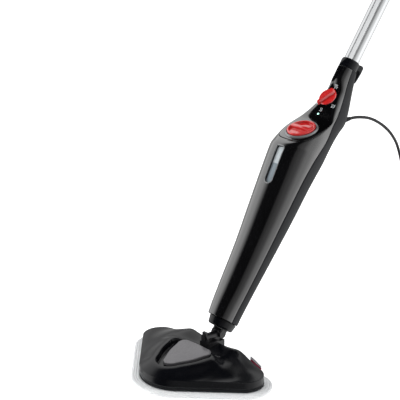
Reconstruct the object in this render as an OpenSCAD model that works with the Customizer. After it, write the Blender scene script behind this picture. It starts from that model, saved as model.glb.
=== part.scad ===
// Upright steam mop: triangular head, universal joint, body with tank and controls, tube and grip.
// Millimetres. +Z is up, -Y is the way the head points, and the origin is on the floor straight
// below the universal joint. The mast leans back over +Y.

/* [Stance] */
// Backward lean of the mast from upright, degrees
lean = 37; // [20:1:60]
// Height of the universal joint above the floor
pivot_z = 53.5; // [52:0.5:56]

/* [Head] */
// Radius of the pad's front tip
tip_r = 82; // [76:1:86]
// Distance from the joint forward to the centre of the tip radius
tip_y = 94; // [88:1:100]
// Radius of the pad's two rear corners
corner_r = 48.5; // [44:0.5:52]
// Sideways distance from the middle to each rear corner's centre
corner_x = 105; // [98:1:112]
// Distance from the joint forward to the rear corners' centres
corner_y = 40; // [38:1:42]
// Thickness of the microfibre pad
pad_t = 7; // [5:0.5:7]
// How far the pad stands out round the head
pad_overhang = 14.5; // [12:0.5:17]
// Height of the cover's crease above the floor at the front
crease_z = 26; // [24:1:29]
// Thickness of the cover's wall
cover_wall = 2.5; // [2:0.25:3]

/* [Body] */
// Thickness of the body shells
shell_wall = 2.6; // [2:0.1:3]
// Height where the panel starts, measured along the mast from the joint
panel_bottom = 356; // [352:1:360]
// Height where the panel ends
panel_top = 512; // [508:1:516]
// Tilt of the filler cap's face from the front of the mast, degrees
cap_tilt = 38.9; // [36:0.1:42]
// Diameter of the filler cap
cap_d = 51.4; // [48:0.2:54]
// Tilt of the knob's face from the front of the mast, degrees
knob_tilt = 12; // [6:1:12]
// Diameter of the knob's skirt
knob_d = 34; // [30:1:36]

/* [Tube and grip] */
// Outside diameter of the aluminium tube
tube_d = 28; // [27:0.5:28]
// Wall of the tube
tube_wall = 1.5; // [1.2:0.1:1.8]
// Height where the tube leaves the body
tube_bottom = 516; // [514:1:520]
// Height of the tube's upper end
tube_top = 985; // [900:5:1010]
// Length of the hand grip
grip_len = 185; // [150:5:210]

/* [Cord] */
// Diameter of the lead
cord_d = 5.5; // [5:0.5:8]
// Mean radius of the coil on the floor
coil_r = 44; // [40:1:60]
// Turns side by side in the coil
coil_cols = 5; // [3:1:5]
// Layers of turns in the coil
coil_rows = 4; // [3:1:4]

/* [Hidden] */

// Colours
GLOSS = [0.03, 0.03, 0.035];
MATT = [0.10, 0.10, 0.105];
DARK = [0.16, 0.16, 0.17];
RED = [0.80, 0.06, 0.08];
WHITE = [0.92, 0.92, 0.90];
METAL = [0.72, 0.73, 0.75];
BRASS = [0.78, 0.62, 0.30];

$fn = 64;
EPS = 0.01;

// ---------------------------------------------------------------- general functions
function smooth_max(a, b, k) = (a + b + sqrt((a - b) * (a - b) + k * k)) / 2;
function smooth_min(a, b, k) = (a + b - sqrt((a - b) * (a - b) + k * k)) / 2;
function clamp01(u) = min(1, max(0, u));
function smooth_step(u) = let (c = clamp01(u)) c * c * (3 - 2 * c);
function signed_pow(a, e) = sign(a) * pow(abs(a), e);
function lerp(a, b, u) = a + (b - a) * u;
function unit(v) = v / norm(v);
function last(list) = list[len(list) - 1];

// Smooth curve through rows [position, value, value...]: the value in one column at a position
function row_of(rows, at, i = 0) = (i >= len(rows) - 2 || at < rows[i + 1][0]) ? i : row_of(rows, at, i + 1);
function row_slope(rows, i, c) = let (a = max(i - 1, 0), b = min(i + 1, len(rows) - 1))
    (rows[b][c] - rows[a][c]) / (rows[b][0] - rows[a][0]);
function along(rows, at, c) = let (
        i = row_of(rows, at),
        h = rows[i + 1][0] - rows[i][0],
        u = clamp01((at - rows[i][0]) / h),
        m0 = row_slope(rows, i, c) * h,
        m1 = row_slope(rows, i + 1, c) * h)
    rows[i][c] * (2 * u * u * u - 3 * u * u + 1) + m0 * (u * u * u - 2 * u * u + u)
    + rows[i + 1][c] * (3 * u * u - 2 * u * u * u) + m1 * (u * u * u - u * u);

// A walled skin over a grid of (a, b) values. shape(a, b, depth) gives a point; cells where
// keep(i, j) is false are left open, and every open edge gets a wall.
module skin(as, bs, shape, outer, inner, keep, closed = false) {
    na = len(as);
    nb = len(bs);
    cells_b = closed ? nb : nb - 1;
    function wrap(j) = closed ? (j + nb) % nb : j;
    function is_kept(i, j) = i >= 0 && i < na - 1 && (closed || (j >= 0 && j < nb - 1)) && keep(i, wrap(j));
    function top(i, j) = i * nb + wrap(j);
    function low(i, j) = na * nb + top(i, j);
    function quad(a, b, c, d) = [[a, b, c], [a, c, d]];
    points = concat([for (a = as) for (b = bs) shape(a, b, outer)],
        [for (a = as) for (b = bs) shape(a, b, inner)]);
    faces = [for (i = [0:na - 2]) for (j = [0:cells_b - 1]) if (is_kept(i, j))
        each concat(
            quad(top(i, j), top(i + 1, j), top(i + 1, j + 1), top(i, j + 1)),
            quad(low(i, j), low(i, j + 1), low(i + 1, j + 1), low(i + 1, j)),
            is_kept(i - 1, j) ? [] : quad(top(i, j), top(i, j + 1), low(i, j + 1), low(i, j)),
            is_kept(i + 1, j) ? [] : quad(top(i + 1, j + 1), top(i + 1, j), low(i + 1, j), low(i + 1, j + 1)),
            is_kept(i, j - 1) ? [] : quad(top(i + 1, j), top(i, j), low(i, j), low(i + 1, j)),
            is_kept(i, j + 1) ? [] : quad(top(i, j + 1), top(i + 1, j + 1), low(i + 1, j + 1), low(i, j + 1)))];
    polyhedron(points = points, faces = faces, convexity = 8);
}

// A solid through closed rings of equal point count, with flat ends
module loft(rings) {
    n = len(rings[0]);
    m = len(rings);
    faces = concat(
        [for (i = [0:m - 2]) for (j = [0:n - 1]) let (k = (j + 1) % n)
            each [[i * n + j, (i + 1) * n + j, (i + 1) * n + k], [i * n + j, (i + 1) * n + k, i * n + k]]],
        [[for (j = [0:n - 1]) j]],
        [[for (j = [0:n - 1]) m * n - 1 - j]]);
    polyhedron(points = [for (ring = rings) each ring], faces = faces, convexity = 6);
}

// Smooth path through route points, then a swept tube along it
function spline_point(p, i, u) = let (
        a = p[max(i - 1, 0)], b = p[i], c = p[i + 1], d = p[min(i + 2, len(p) - 1)])
    0.5 * (2 * b + (c - a) * u + (2 * a - 5 * b + 4 * c - d) * u * u + (3 * b - a - 3 * c + d) * u * u * u);
function spline(p, steps) = concat(
    [for (i = [0:len(p) - 2]) for (s = [0:steps - 1]) spline_point(p, i, s / steps)], [last(p)]);
function tangent(path, i) = unit(path[min(i + 1, len(path) - 1)] - path[max(i - 1, 0)]);
// Each ring's side direction is carried on from the ring before it, so the tube doesn't twist
function carried(side, t) = unit(side - t * (side * t));
function side_dirs(path, i, side) = i >= len(path) ? []
    : let (s = carried(side, tangent(path, i))) concat([s], side_dirs(path, i + 1, s));
function tube_rings(path, r, sides) = let (s = side_dirs(path, 0, [1, 0.02, 0.03]))
    [for (i = [0:len(path) - 1]) let (t = tangent(path, i), n = cross(t, s[i]))
        [for (k = [0:sides - 1]) path[i] + r * (cos(k * 360 / sides) * s[i] + sin(k * 360 / sides) * n)]];
module tube_along(path, r, sides = 8) {
    loft(tube_rings(path, r, sides));
}

module ring(r_out, r_in, h) {
    difference() {
        cylinder(r = r_out, h = h);
        translate([0, 0, -1]) cylinder(r = r_in, h = h + 2);
    }
}

// ---------------------------------------------------------------- head outline
// The pad is three circles with straight sides between them. tangent_a is the direction in which
// the straight front side faces.
corner_gap = norm([corner_x, tip_y - corner_y]);
tangent_a = atan2(tip_y - corner_y, corner_x) - acos((tip_r - corner_r) / corner_gap);
function arc(centre, r, a0, a1, steps) = [for (i = [0:steps])
    let (a = lerp(a0, a1, i / steps)) centre + r * [cos(a), sin(a)]];
function side_points(a, b, steps) = [for (i = [1:steps - 1]) lerp(a, b, i / steps)];
// Outline moved inwards by inset; arc_n and side_n are the steps on each arc and straight side
function outline(inset, arc_n = 12, side_n = 4) = let (
        right = arc([corner_x, -corner_y], corner_r - inset, tangent_a, 90, arc_n),
        left = arc([-corner_x, -corner_y], corner_r - inset, 90, 180 - tangent_a, arc_n),
        front = arc([0, -tip_y], tip_r - inset, 180 - tangent_a, 360 + tangent_a, arc_n))
    concat(right, side_points(last(right), left[0], 2 * side_n), left,
        side_points(last(left), front[0], side_n), front, side_points(last(front), right[0], side_n));

// ---------------------------------------------------------------- head cover surface
base_z0 = pad_t + 1;
base_t = 4;
rear_rise = 18;
centre_y = -84;
// Height of the cover's edge: low round the front and the corners, high at the middle of the back
function edge_z(x, y) = crease_z
    + rear_rise * smooth_step((112 - abs(x)) / 52) * smooth_step((y + 62) / 50);
// Height of the cover's top away from its edge
function crown_z(x, y) = 46 - 13 * smooth_step((-y - 20) / 110) - 16 * smooth_step((abs(x) - 75) / 60);
// Shallow dip between the two rear lobes, where the joint stands
function saddle(x, y) = 5 * smooth_step((60 - abs(x)) / 35) * smooth_step((y + 60) / 30);
function cover_z(x, y, s) = let (e = edge_z(x, y))
    e + (crown_z(x, y) - e) * pow(1 - pow(s, 2.4), 0.95) - saddle(x, y);
// s runs from 0 in the middle to 1 at the edge, then to 1.5 down the skirt
function cover_point(s, p, depth) = let (
        r = min(s, 1),
        x = p[0] * r,
        y = centre_y + (p[1] - centre_y) * r,
        top = cover_z(x, y, r) - depth,
        drop = clamp01((s - 1) * 2),
        foot = base_z0 + base_t + 0.3,
        away = unit([x, y - centre_y]),
        out = s > 0.999 ? lerp(0, 1.2, drop) - depth : -0.4 * depth)
    [x + away[0] * out, y + away[1] * out, lerp(top, foot, drop)];

// ---------------------------------------------------------------- body surface
// Rows [height, half width, front, back] of the body's outside, along the mast from the joint
BODY = [
    [23.5, 28, -32, 20.5],
    [46, 30, -34.5, 19],
    [83, 33, -37, 18],
    [158, 37.5, -44, 20],
    [232, 43, -54.5, 21],
    [290, 46.5, -63, 20.5],
    [336, 49, -69.5, 23],
    [345, 49, -68.5, 23.5],
    [381, 45.5, -56, 25],
    [406, 41, -43, 30],
    [431, 33.6, -29, 41],
    [456, 25.4, -21, 40.5],
    [477, 20.4, -18, 35],
    [500, 17.6, -17, 27],
    [520, 17, -16.8, 19]];
SECTION_POWER = 0.91;
cap_v = -38.7;
cap_w = 381.2;
// Front of the neck, which comes forward again to meet the tube's collar
function neck_face(w) = -11.6 + 0.06 * (w - 455) - 12 * smooth_step((w - 475) / 35);
// Flat facet that carries the cap, running into the front of the neck
function facet(w) = smooth_min(cap_v + (w - cap_w) * tan(cap_tilt), neck_face(w), 5);
// The neck's front is crowned from side to side, the cap's facet isn't; across is 0 in the middle, 1 at the side
function face_at(w, across) = facet(w) + 2.5 * across * across * smooth_step((w - 425) / 30);
function face_blend(w) = 4 + 3 * smooth_step((w - 400) / 35) - 6 * smooth_step((w - 470) / 35);
// Point on the body at height w and angle t (0 is +X, -90 is the front), depth under the outside
function body_point(w, t, depth) = let (
        half = along(BODY, w, 1) - depth,
        front = along(BODY, w, 2) + depth,
        back = along(BODY, w, 3) - depth,
        mid = (front + back) / 2,
        v = mid + (back - front) / 2 * signed_pow(sin(t), SECTION_POWER),
        across = signed_pow(cos(t), SECTION_POWER))
    [half * across, smooth_max(v, face_at(w, across) + depth, face_blend(w)), w];
BODY_SURFACE = function (w, t, depth) body_point(w, t, depth);

// Grid lines. Openings start and end on a line.
seam_a = -10;
panel_a = -27;
filler_a = -65;
window_a = -78;
window_w = [265, 338];
filler_w = [366, 396.5];
shaft_w = [451.5, 463.5];
gland_w = [428, 444];
function mirrored(list) = concat(list, [for (i = [len(list) - 1:-1:0]) -180 - list[i]]);
FRONT_A = mirrored([seam_a, panel_a, -40, -53, filler_a, window_a, -86]);
PANEL_A = mirrored([panel_a, -40, -53, filler_a, window_a, -86]);
BACK_A = [for (a = [seam_a, 8, 26, 44, 62, 78, 90, 102, 118, 136, 154, 172, 190]) a];
LOW_W = [23.5, 34, 46, 64, 83, 108, 133, 158, 183, 208, 232, 254, window_w[0], 289, 305, 321, 331,
    window_w[1], 347];
HIGH_W = [panel_bottom, filler_w[0], 374, 381, 389, filler_w[1], 401, 406, 412, 419, gland_w[0], 436,
    gland_w[1], shaft_w[0], 457.5, shaft_w[1], 470, 480, 491, 502, panel_top];
BODY_W = concat(LOW_W, HIGH_W, [520]);
function between(list, i, range) = list[i] >= range[0] - EPS && list[i + 1] <= range[1] + EPS;
function a_between(list, j, a) = between([for (b = list) -b], j, [-a, 180 + a]);

// ---------------------------------------------------------------- places on the mast
module on_mast() {
    translate([0, 0, pivot_z]) rotate([-lean, 0, 0]) children();
}
// Stands +Z along a direction that leans up from the mast's front by a tilt
module facing_front(v, w, tilt) {
    translate([0, v, w]) rotate([90 - tilt, 0, 0]) children();
}
function mast_to_world(p) = [p[0], p[1] * cos(lean) + p[2] * sin(lean),
    pivot_z - p[1] * sin(lean) + p[2] * cos(lean)];

// ---------------------------------------------------------------- head parts
module mop_pad() {
    color(WHITE) linear_extrude(height = pad_t) polygon(outline(0));
}

label_t = 1.6;
label_x = [74, 101];
label_top = [31, 21.5];
module pad_label() {
    color(RED) translate([0, corner_r - corner_y - 2.7, 0]) rotate([90, 0, 0]) linear_extrude(height = label_t)
        polygon([[label_x[0], pad_t], [label_x[1], pad_t], [label_x[1], label_top[1]],
            [label_x[0], label_top[0]]]);
}

module hook_strips() {
    color(DARK) translate([0, 0, pad_t]) {
        for (side = [-1, 1]) translate([side * 75 - 35, -60, 0]) cube([70, 25, base_z0 - pad_t]);
        translate([-30, -140, 0]) cube([60, 25, base_z0 - pad_t]);
    }
}

nozzle_spots = [[-60, -75], [-30, -100], [0, -112], [30, -100], [60, -75]];
screw_spots = [[-95, -45], [95, -45], [-35, -25], [35, -25]];
module head_base() {
    color(MATT) difference() {
        translate([0, 0, base_z0]) linear_extrude(height = base_t) polygon(outline(pad_overhang));
        for (p = nozzle_spots) translate([p[0], p[1], base_z0 - 1]) cylinder(r = 3, h = base_t + 2);
        for (p = screw_spots) translate([p[0], p[1], base_z0 - 1]) cylinder(r = 2, h = base_t + 2);
    }
}

COVER_S = [0.2, 0.34, 0.46, 0.57, 0.67, 0.76, 0.84, 0.90, 0.95, 0.985, 1, 1.5];
COVER_SURFACE = function (s, p, depth) cover_point(s, p, depth);
module head_cover() {
    color(GLOSS) skin([for (i = [len(COVER_S) - 1:-1:0]) COVER_S[i]], outline(pad_overhang + 1.4),
        COVER_SURFACE, 0, cover_wall, function (i, j) true, closed = true);
}

badge_tilt = 5.9;
badge_rear = [37, -46];
badge_tip_y = -124;
badge_z = 45;
function badge_outline() = let (r = 11, tip_r2 = 13,
        rear = [badge_rear[0] - r, badge_rear[1] - r], tip = [0, badge_tip_y + tip_r2],
        d = rear - tip, a = atan2(d[1], d[0]) - acos((tip_r2 - r) / norm(d)))
    concat(arc(rear, r, a, 90, 8), arc([-rear[0], rear[1]], r, 90, 180 - a, 8),
        arc(tip, tip_r2, 180 - a, 360 + a, 8));
module badge_plate() {
    color(METAL) translate([0, badge_rear[1], badge_z]) rotate([badge_tilt, 0, 0])
        translate([0, -badge_rear[1], -3]) linear_extrude(height = 3) polygon(badge_outline());
}

module steam_manifold() {
    top = base_z0 + base_t;
    color(DARK) difference() {
        translate([-68, -120, top]) cube([136, 60, 9]);
        translate([-65, -117, top - 1]) cube([130, 54, 7]);
        translate([0, -70, top]) cylinder(r = 4, h = 12);
    }
}

module steam_nozzles() {
    color(BRASS) for (p = nozzle_spots) translate([p[0], p[1], base_z0]) difference() {
        union() {
            cylinder(r = 2.95, h = base_t + 2);
            translate([0, 0, base_t]) cylinder(r = 5, h = 2);
        }
        translate([0, 0, -1]) cylinder(r = 1, h = base_t + 4);
    }
}

// ---------------------------------------------------------------- universal joint
pin_r = 2.5;
stub_r = 3;
running_gap = 0.05;
knuckle_r = 8;
barrel_r = 6.5;
front_lug_y = [-34, -29];
rear_lug_y = [4.7, 7.1];
lug_leg = 2.5;
knuckle_back = 4.4;
cradle_top = 34;
block_top = 45.8;
rest_top = 41.2;
module lug(y_range, r, leg) {
    translate([0, y_range[1], pivot_z]) rotate([90, 0, 0]) cylinder(r = r, h = y_range[1] - y_range[0]);
    translate([-leg, y_range[0], cradle_top - 2])
        cube([2 * leg, y_range[1] - y_range[0], pivot_z - cradle_top + 2]);
}
module pivot_cradle() {
    color(MATT) difference() {
        union() {
            translate([-15, front_lug_y[0], base_z0 + base_t + 0.3])
                cube([30, -front_lug_y[0] - 11, cradle_top - base_z0 - base_t - 0.3]);
            translate([-11, front_lug_y[0], cradle_top - 2])
                cube([22, -front_lug_y[0] - 10.5, block_top - cradle_top + 2]);
            translate([-8, -12, base_z0 + base_t + 14])
                cube([16, 12 + rear_lug_y[1], rest_top - base_z0 - base_t - 14]);
            lug(front_lug_y, 7.5, 7.5);
            lug(rear_lug_y, 4.7, lug_leg);
            translate([-5, front_lug_y[0], pivot_z]) cube([10, 2.5, 10.5]);
            translate([-5, front_lug_y[0], pivot_z + 8]) cube([10, 5, 2.5]);
        }
        translate([0, 20, pivot_z]) rotate([90, 0, 0]) cylinder(r = pin_r, h = 80);
    }
}

module roll_pin() {
    color(METAL) {
        translate([0, rear_lug_y[1], pivot_z]) rotate([90, 0, 0])
            cylinder(r = pin_r, h = rear_lug_y[1] - front_lug_y[0]);
        translate([0, front_lug_y[0], pivot_z]) rotate([90, 0, 0]) cylinder(r = 4, h = 1.5);
    }
}

module head_screws() {
    color(METAL) for (p = screw_spots) translate([p[0], p[1], base_z0]) {
        cylinder(r = 1.9, h = base_t + 5);
    }
}

module knuckle() {
    color(DARK) difference() {
        union() {
            translate([0, knuckle_back, pivot_z]) rotate([90, 0, 0])
                cylinder(r = barrel_r, h = knuckle_back - front_lug_y[1] - 0.4);
            translate([-7, 0, pivot_z]) rotate([0, 90, 0]) cylinder(r = knuckle_r, h = 14);
        }
        translate([-10, knuckle_back, pivot_z - 10]) cube([20, 20, 20]);
        translate([0, 10, pivot_z]) rotate([90, 0, 0]) cylinder(r = pin_r + running_gap, h = 50);
        for (side = [-1, 1]) translate([side * 3.4, 0, pivot_z]) rotate([0, side * 90, 0])
            cylinder(r = stub_r, h = 10);
    }
}

module pitch_pins() {
    color(METAL) for (side = [-1, 1]) translate([side * 3.5, 0, pivot_z]) rotate([0, side * 90, 0])
        cylinder(r = stub_r, h = fork_out - 3.3);
}

// ---------------------------------------------------------------- neck and collar
fork_in = 7.4;
fork_out = 11.4;
collar_w = [8.6, 22.8];
neck_v = -3.5;
module neck_fork() {
    color(DARK) on_mast() difference() {
        union() {
            for (side = [-1, 1]) translate([side * fork_in, 0, 0]) rotate([0, side * 90, 0])
                cylinder(r = 7, h = fork_out - fork_in);
            for (side = [-1, 1]) translate([side > 0 ? fork_in : -fork_out, -6, 0])
                cube([fork_out - fork_in, 12, 12]);
            translate([0, 0, collar_w[0]]) cylinder(r = 13.2, h = 5.4);
            translate([0, 0, 10]) cylinder(r = 10, h = 20);
            translate([0, neck_v, collar_w[1] + 0.2]) cylinder(r = 19, h = 3);
        }
        rotate([0, 90, 0]) translate([0, 0, -20]) cylinder(r = stub_r + running_gap, h = 40);
        translate([0, 0, 5]) cylinder(r = 3, h = 30);
    }
}

module lower_collar() {
    h = collar_w[1] - collar_w[0];
    color(MATT) on_mast() difference() {
        translate([0, neck_v, collar_w[0]]) union() {
            cylinder(r1 = 21, r2 = 22.6, h = 2);
            translate([0, 0, 2]) cylinder(r1 = 22.6, r2 = 25, h = h - 2);
        }
        translate([0, 0, collar_w[0] - 1]) cylinder(r = 13.6, h = 5);
        translate([0, neck_v, collar_w[0] + 2.6]) cylinder(r1 = 20.4, r2 = 22.6, h = h);
    }
}

// ---------------------------------------------------------------- body shells
module front_shell() {
    color(GLOSS) on_mast() skin(BODY_W, FRONT_A, BODY_SURFACE, 0, shell_wall,
        function (i, j) !(between(BODY_W, i, [panel_bottom, panel_top]) && a_between(FRONT_A, j, panel_a))
            && !(between(BODY_W, i, window_w) && a_between(FRONT_A, j, window_a)));
}

module back_shell() {
    color(MATT) on_mast() skin(BODY_W, BACK_A, BODY_SURFACE, 0, shell_wall,
        function (i, j) !(between(BODY_W, i, gland_w) && BACK_A[j] >= 78 && BACK_A[j + 1] <= 102));
}

module control_panel() {
    color(GLOSS) on_mast() skin(HIGH_W, PANEL_A, BODY_SURFACE, 0, shell_wall,
        function (i, j) !(between(HIGH_W, i, filler_w) && a_between(PANEL_A, j, filler_a))
            && !(between(HIGH_W, i, shaft_w) && a_between(PANEL_A, j, window_a)));
}

module filler_bezel() {
    color(METAL) on_mast() facing_front(cap_v, cap_w, cap_tilt) translate([0, 0, 0.2])
        ring(cap_d / 2 + 4.3, cap_d / 2 + 0.6, 2.2);
}

neck_r = 17;
elbow_v = -20;
elbow_drop = (elbow_v - cap_v) / cos(cap_tilt);
elbow_w = cap_w - elbow_drop * sin(cap_tilt);
module filler_channel(r, extra) {
    facing_front(elbow_v, elbow_w, cap_tilt) cylinder(r = r, h = elbow_drop - 3.5 + extra);
    translate([0, elbow_v, elbow_w]) sphere(r = r);
    translate([0, elbow_v, 346 - extra]) cylinder(r = r, h = elbow_w - 346 + extra);
}
module filler_neck() {
    color(MATT) on_mast() difference() {
        filler_channel(neck_r, 0);
        filler_channel(neck_r - 2, 5);
    }
}

// ---------------------------------------------------------------- water tank
tank_w = [208, 348];
tank_inset = 5.6;
tank_back = 7;
tank_wall = 2;
TANK_A = [for (a = [0:15:345]) a];
function tank_point(w, t, depth) = let (p = body_point(w, t, tank_inset + depth))
    [p[0], min(p[1], tank_back - depth), w];
function tank_ring(w, depth) = [for (t = TANK_A) tank_point(w, t, depth)];
TANK_STEPS = [for (i = [0:7]) lerp(tank_w[0], tank_w[1], i / 7)];
module water_tank() {
    color([0.75, 0.85, 0.92]) on_mast() loft(concat(
        [for (w = TANK_STEPS) tank_ring(w, 0)],
        [for (i = [7:-1:0]) let (w = max(TANK_STEPS[i], tank_w[0] + tank_wall))
            [for (p = tank_ring(TANK_STEPS[i], tank_wall)) [p[0], p[1], w]]]));
}

module tank_lid() {
    color(MATT) on_mast() difference() {
        loft([tank_ring(tank_w[1], 0), [for (p = tank_ring(tank_w[1], 0)) [p[0], p[1], tank_w[1] + 3]]]);
        translate([0, elbow_v, tank_w[1] - 1]) cylinder(r = neck_r + 0.1, h = 6);
    }
}

lens_w = [272, 289, 306, 323, 336, 345];
lens_a = mirrored([-75, -83]);
module tank_window() {
    color([0.55, 0.62, 0.66]) on_mast() skin(lens_w, lens_a, BODY_SURFACE, shell_wall + 0.1, shell_wall + 1.9,
        function (i, j) true);
}

// ---------------------------------------------------------------- controls
module status_lens() {
    color([0.6, 0.95, 0.8]) on_mast() facing_front(facet(424) + 3, 424, 8) cylinder(r = 2.2, h = 4);
}

module control_board() {
    color([0.1, 0.35, 0.2]) on_mast() {
        translate([-17, 13, 396]) cube([34, 1.6, 54]);
        for (w = [404, 420]) translate([-8, 8, w]) cube([16, 5, 10]);
    }
}

knob_w = 457.5;
knob_v = facet(knob_w) - 0.75;
module at_knob() {
    facing_front(knob_v, knob_w, knob_tilt) children();
}
module rotary_switch() {
    color(DARK) on_mast() at_knob() translate([0, 0, -21.5]) difference() {
        cylinder(r = 11, h = 13);
        translate([0, 0, 2]) cylinder(r = 3 + running_gap, h = 20);
    }
}

// The pointer starts towards the first setting, knob_rest degrees round from +X
knob_rest = 247;
module steam_knob() {
    r = knob_d / 2;
    color(RED) on_mast() at_knob() rotate([0, 0, knob_rest]) difference() {
        union() {
            translate([0, 0, 1.6]) cylinder(r1 = r, r2 = r - 1, h = 2.6);
            difference() {
                translate([0, 0, 4]) cylinder(r1 = r - 2, r2 = r - 4, h = 7);
                for (side = [-1, 1]) translate([-20, side > 0 ? 3.8 : -23.8, 4.8]) cube([40, 20, 9]);
            }
            translate([0, -2.5, 4]) cube([r + 3.5, 5, 5]);
        }
        translate([0, 0, -1]) cylinder(r = 3, h = 7);
    }
}

module knob_shaft() {
    color(METAL) on_mast() at_knob() translate([0, 0, -19]) cylinder(r = 3, h = 25);
}

// Round seat between the panel and the knob's skirt
module knob_seat() {
    color(DARK) on_mast() at_knob() translate([0, 0, -6]) ring(13.5, 3.4, 7.1);
}

// ---------------------------------------------------------------- filler cap
cap_r = cap_d / 2;
module at_cap() {
    facing_front(cap_v, cap_w, cap_tilt) children();
}
module tank_cap() {
    color(RED) on_mast() at_cap() difference() {
        translate([0, 0, 1]) cylinder(r = cap_r, h = 4.2);
        for (side = [-1, 1]) difference() {
            translate([0, 0, 2.4]) cylinder(r = cap_r - 4, h = 5);
            translate([-30, side > 0 ? -56 : -4, 2]) cube([60, 60, 8]);
        }
        translate([0, 0, -1]) cylinder(r = 4 + running_gap, h = 3.6);
    }
}

module cap_plug() {
    color(DARK) on_mast() at_cap() {
        translate([0, 0, -13]) cylinder(r = 12, h = 9.2);
        translate([0, 0, -4]) cylinder(r = 14.4, h = 3.4);
        translate([0, 0, -4]) cylinder(r = 4, h = 6.4);
    }
}

module cap_seal() {
    color([0.25, 0.25, 0.27]) on_mast() at_cap() translate([0, 0, -8]) ring(14.6, 12, 3.6);
}

// ---------------------------------------------------------------- works inside the body
works_v = -7;
module boiler() {
    color(METAL) on_mast() translate([0, works_v, 34]) {
        cylinder(r = 17, h = 84);
        cylinder(r = 19, h = 3);
        translate([0, 0, 81]) cylinder(r = 19, h = 3);
    }
}

module thermostat() {
    color(BRASS) on_mast() {
        translate([-4, 10.2, 70]) rotate([-90, 0, 0]) cylinder(r = 7, h = 3.2);
        translate([-9, 10.2, 90]) cube([10, 3.5, 14]);
    }
}

module steam_pipe() {
    color(METAL) on_mast() translate([0, 0, 14]) ring(2.9, 1.6, 20);
}

module pump() {
    color(MATT) on_mast() translate([0, works_v, 0]) {
        translate([0, 0, 142]) cylinder(r = 13, h = 50);
        translate([0, 0, 138]) cylinder(r = 4, h = 58);
    }
}

module pump_mounts() {
    color([0.3, 0.3, 0.32]) on_mast() for (w = [148, 178]) translate([0, works_v, w]) ring(16.5, 13, 8);
}

module water_hoses() {
    color([0.85, 0.86, 0.84]) on_mast() translate([0, works_v, 0]) {
        translate([0, 0, 118]) cylinder(r = 3, h = 6);
        translate([0, 0, 132]) cylinder(r = 3, h = 6);
        translate([0, 0, 196]) cylinder(r = 3, h = 12);
    }
}

module check_valve() {
    color(BRASS) on_mast() translate([0, works_v, 124]) cylinder(r = 5, h = 8);
}

module wire_loom() {
    color(DARK) on_mast() translate([12.5, 10.5, 60]) cylinder(r = 2, h = 330);
}

body_screw_w = [60, 150, 240, 330];
module body_screws() {
    color(METAL) on_mast() for (w = body_screw_w) translate([0, along(BODY, w, 3) - 8, w])
        rotate([-90, 0, 0]) cylinder(r = 2.4, h = 5.2);
}

// ---------------------------------------------------------------- tube and grip
tube_r = tube_d / 2;
bore_r = tube_r - tube_wall;
button_w = 562;
button_r = 3.7;
module tube_collar() {
    color(MATT) on_mast() translate([0, 0, 520.4]) difference() {
        union() {
            cylinder(r1 = 17, r2 = 16.8, h = 15);
            translate([0, 0, 15]) cylinder(r1 = 16.8, r2 = 15.4, h = 2.5);
        }
        translate([0, 0, -1]) cylinder(r = tube_r + 0.1, h = 30);
    }
}

module button_hole(r) {
    translate([0, 0, button_w]) rotate([0, -90, 0]) cylinder(r = r, h = 30);
}
module tube_spigot() {
    color(DARK) on_mast() difference() {
        translate([0, 0, 496]) cylinder(r = 11.2, h = 20);
        translate([0, 0, 494]) cylinder(r = 8.6, h = 60);
    }
    color(DARK) on_mast() difference() {
        translate([0, 0, 516]) cylinder(r = bore_r - 0.1, h = 84);
        translate([0, 0, 515]) cylinder(r = 8.6, h = 90);
        button_hole(button_r + running_gap);
    }
}

module upper_tube() {
    color(METAL) on_mast() difference() {
        translate([0, 0, tube_bottom]) ring(tube_r, bore_r, tube_top - tube_bottom);
        button_hole(button_r + running_gap);
    }
}

module lock_button() {
    color(METAL) on_mast() translate([-10.5, 0, button_w]) rotate([0, -90, 0]) {
        cylinder(r = button_r, h = 4.5);
        translate([0, 0, 4.5]) cylinder(r1 = button_r, r2 = button_r - 1, h = 1.2);
    }
}

// The grip starts round the tube and bends forward
grip_w = tube_top - 40;
grip_rise = 26;
grip_n = 14;
function grip_centre(u) = [0, -grip_rise * u * u * 0.8, grip_w + grip_len * u];
function grip_half(u) = [16.4 + 2.2 * sin(180 * u), 17 + 3.4 * sin(180 * u) + 1.5 * u];
GRIP_SURFACE = function (u, t, depth) let (c = grip_centre(u), h = grip_half(u))
    [c[0] + (h[0] - depth) * cos(t), c[1] + (h[1] - depth) * sin(t), c[2]];
GRIP_A = [for (t = [0:15:345]) t];
GRIP_U = [for (i = [0:grip_n]) i / grip_n];
module grip_shell() {
    color(MATT) on_mast() skin(GRIP_U, GRIP_A, GRIP_SURFACE, 0, 2.2, function (i, j) true, closed = true);
}

module grip_insert() {
    color([0.2, 0.2, 0.21]) on_mast() skin([for (i = [3:12]) i / grip_n], [for (t = [-150:15:-30]) t],
        GRIP_SURFACE, -1.4, 0, function (i, j) true);
}

module grip_cap() {
    c = grip_centre(1);
    h = grip_half(1);
    outer = [for (t = GRIP_A) [h[0] * cos(t), h[1] * sin(t)]];
    color(MATT) on_mast() translate(c) loft([
        [for (p = outer) [p[0] * 0.86, p[1] * 0.86, -4]],
        [for (p = outer) [p[0] * 0.86, p[1] * 0.86, 0]],
        [for (p = outer) [p[0], p[1], 0]],
        [for (p = outer) [p[0], p[1], 4]],
        [for (p = outer) [p[0] * 0.9, p[1] * 0.9, 8]],
        [for (p = outer) [p[0] * 0.6, p[1] * 0.6, 10]]]);
}

// ---------------------------------------------------------------- cord hooks
hook_w = 915;
module hook_clamp() {
    color(MATT) on_mast() difference() {
        union() {
            translate([0, 0, hook_w - 10]) cylinder(r = 17, h = 20);
            translate([0, 10, hook_w]) rotate([-90, 0, 0]) cylinder(r = 8, h = 10);
        }
        translate([0, 0, hook_w - 12]) cylinder(r = tube_r + 0.05, h = 24);
        translate([0, 14, hook_w]) rotate([-90, 0, 0]) cylinder(r = 3 + running_gap, h = 10);
    }
}

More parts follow.
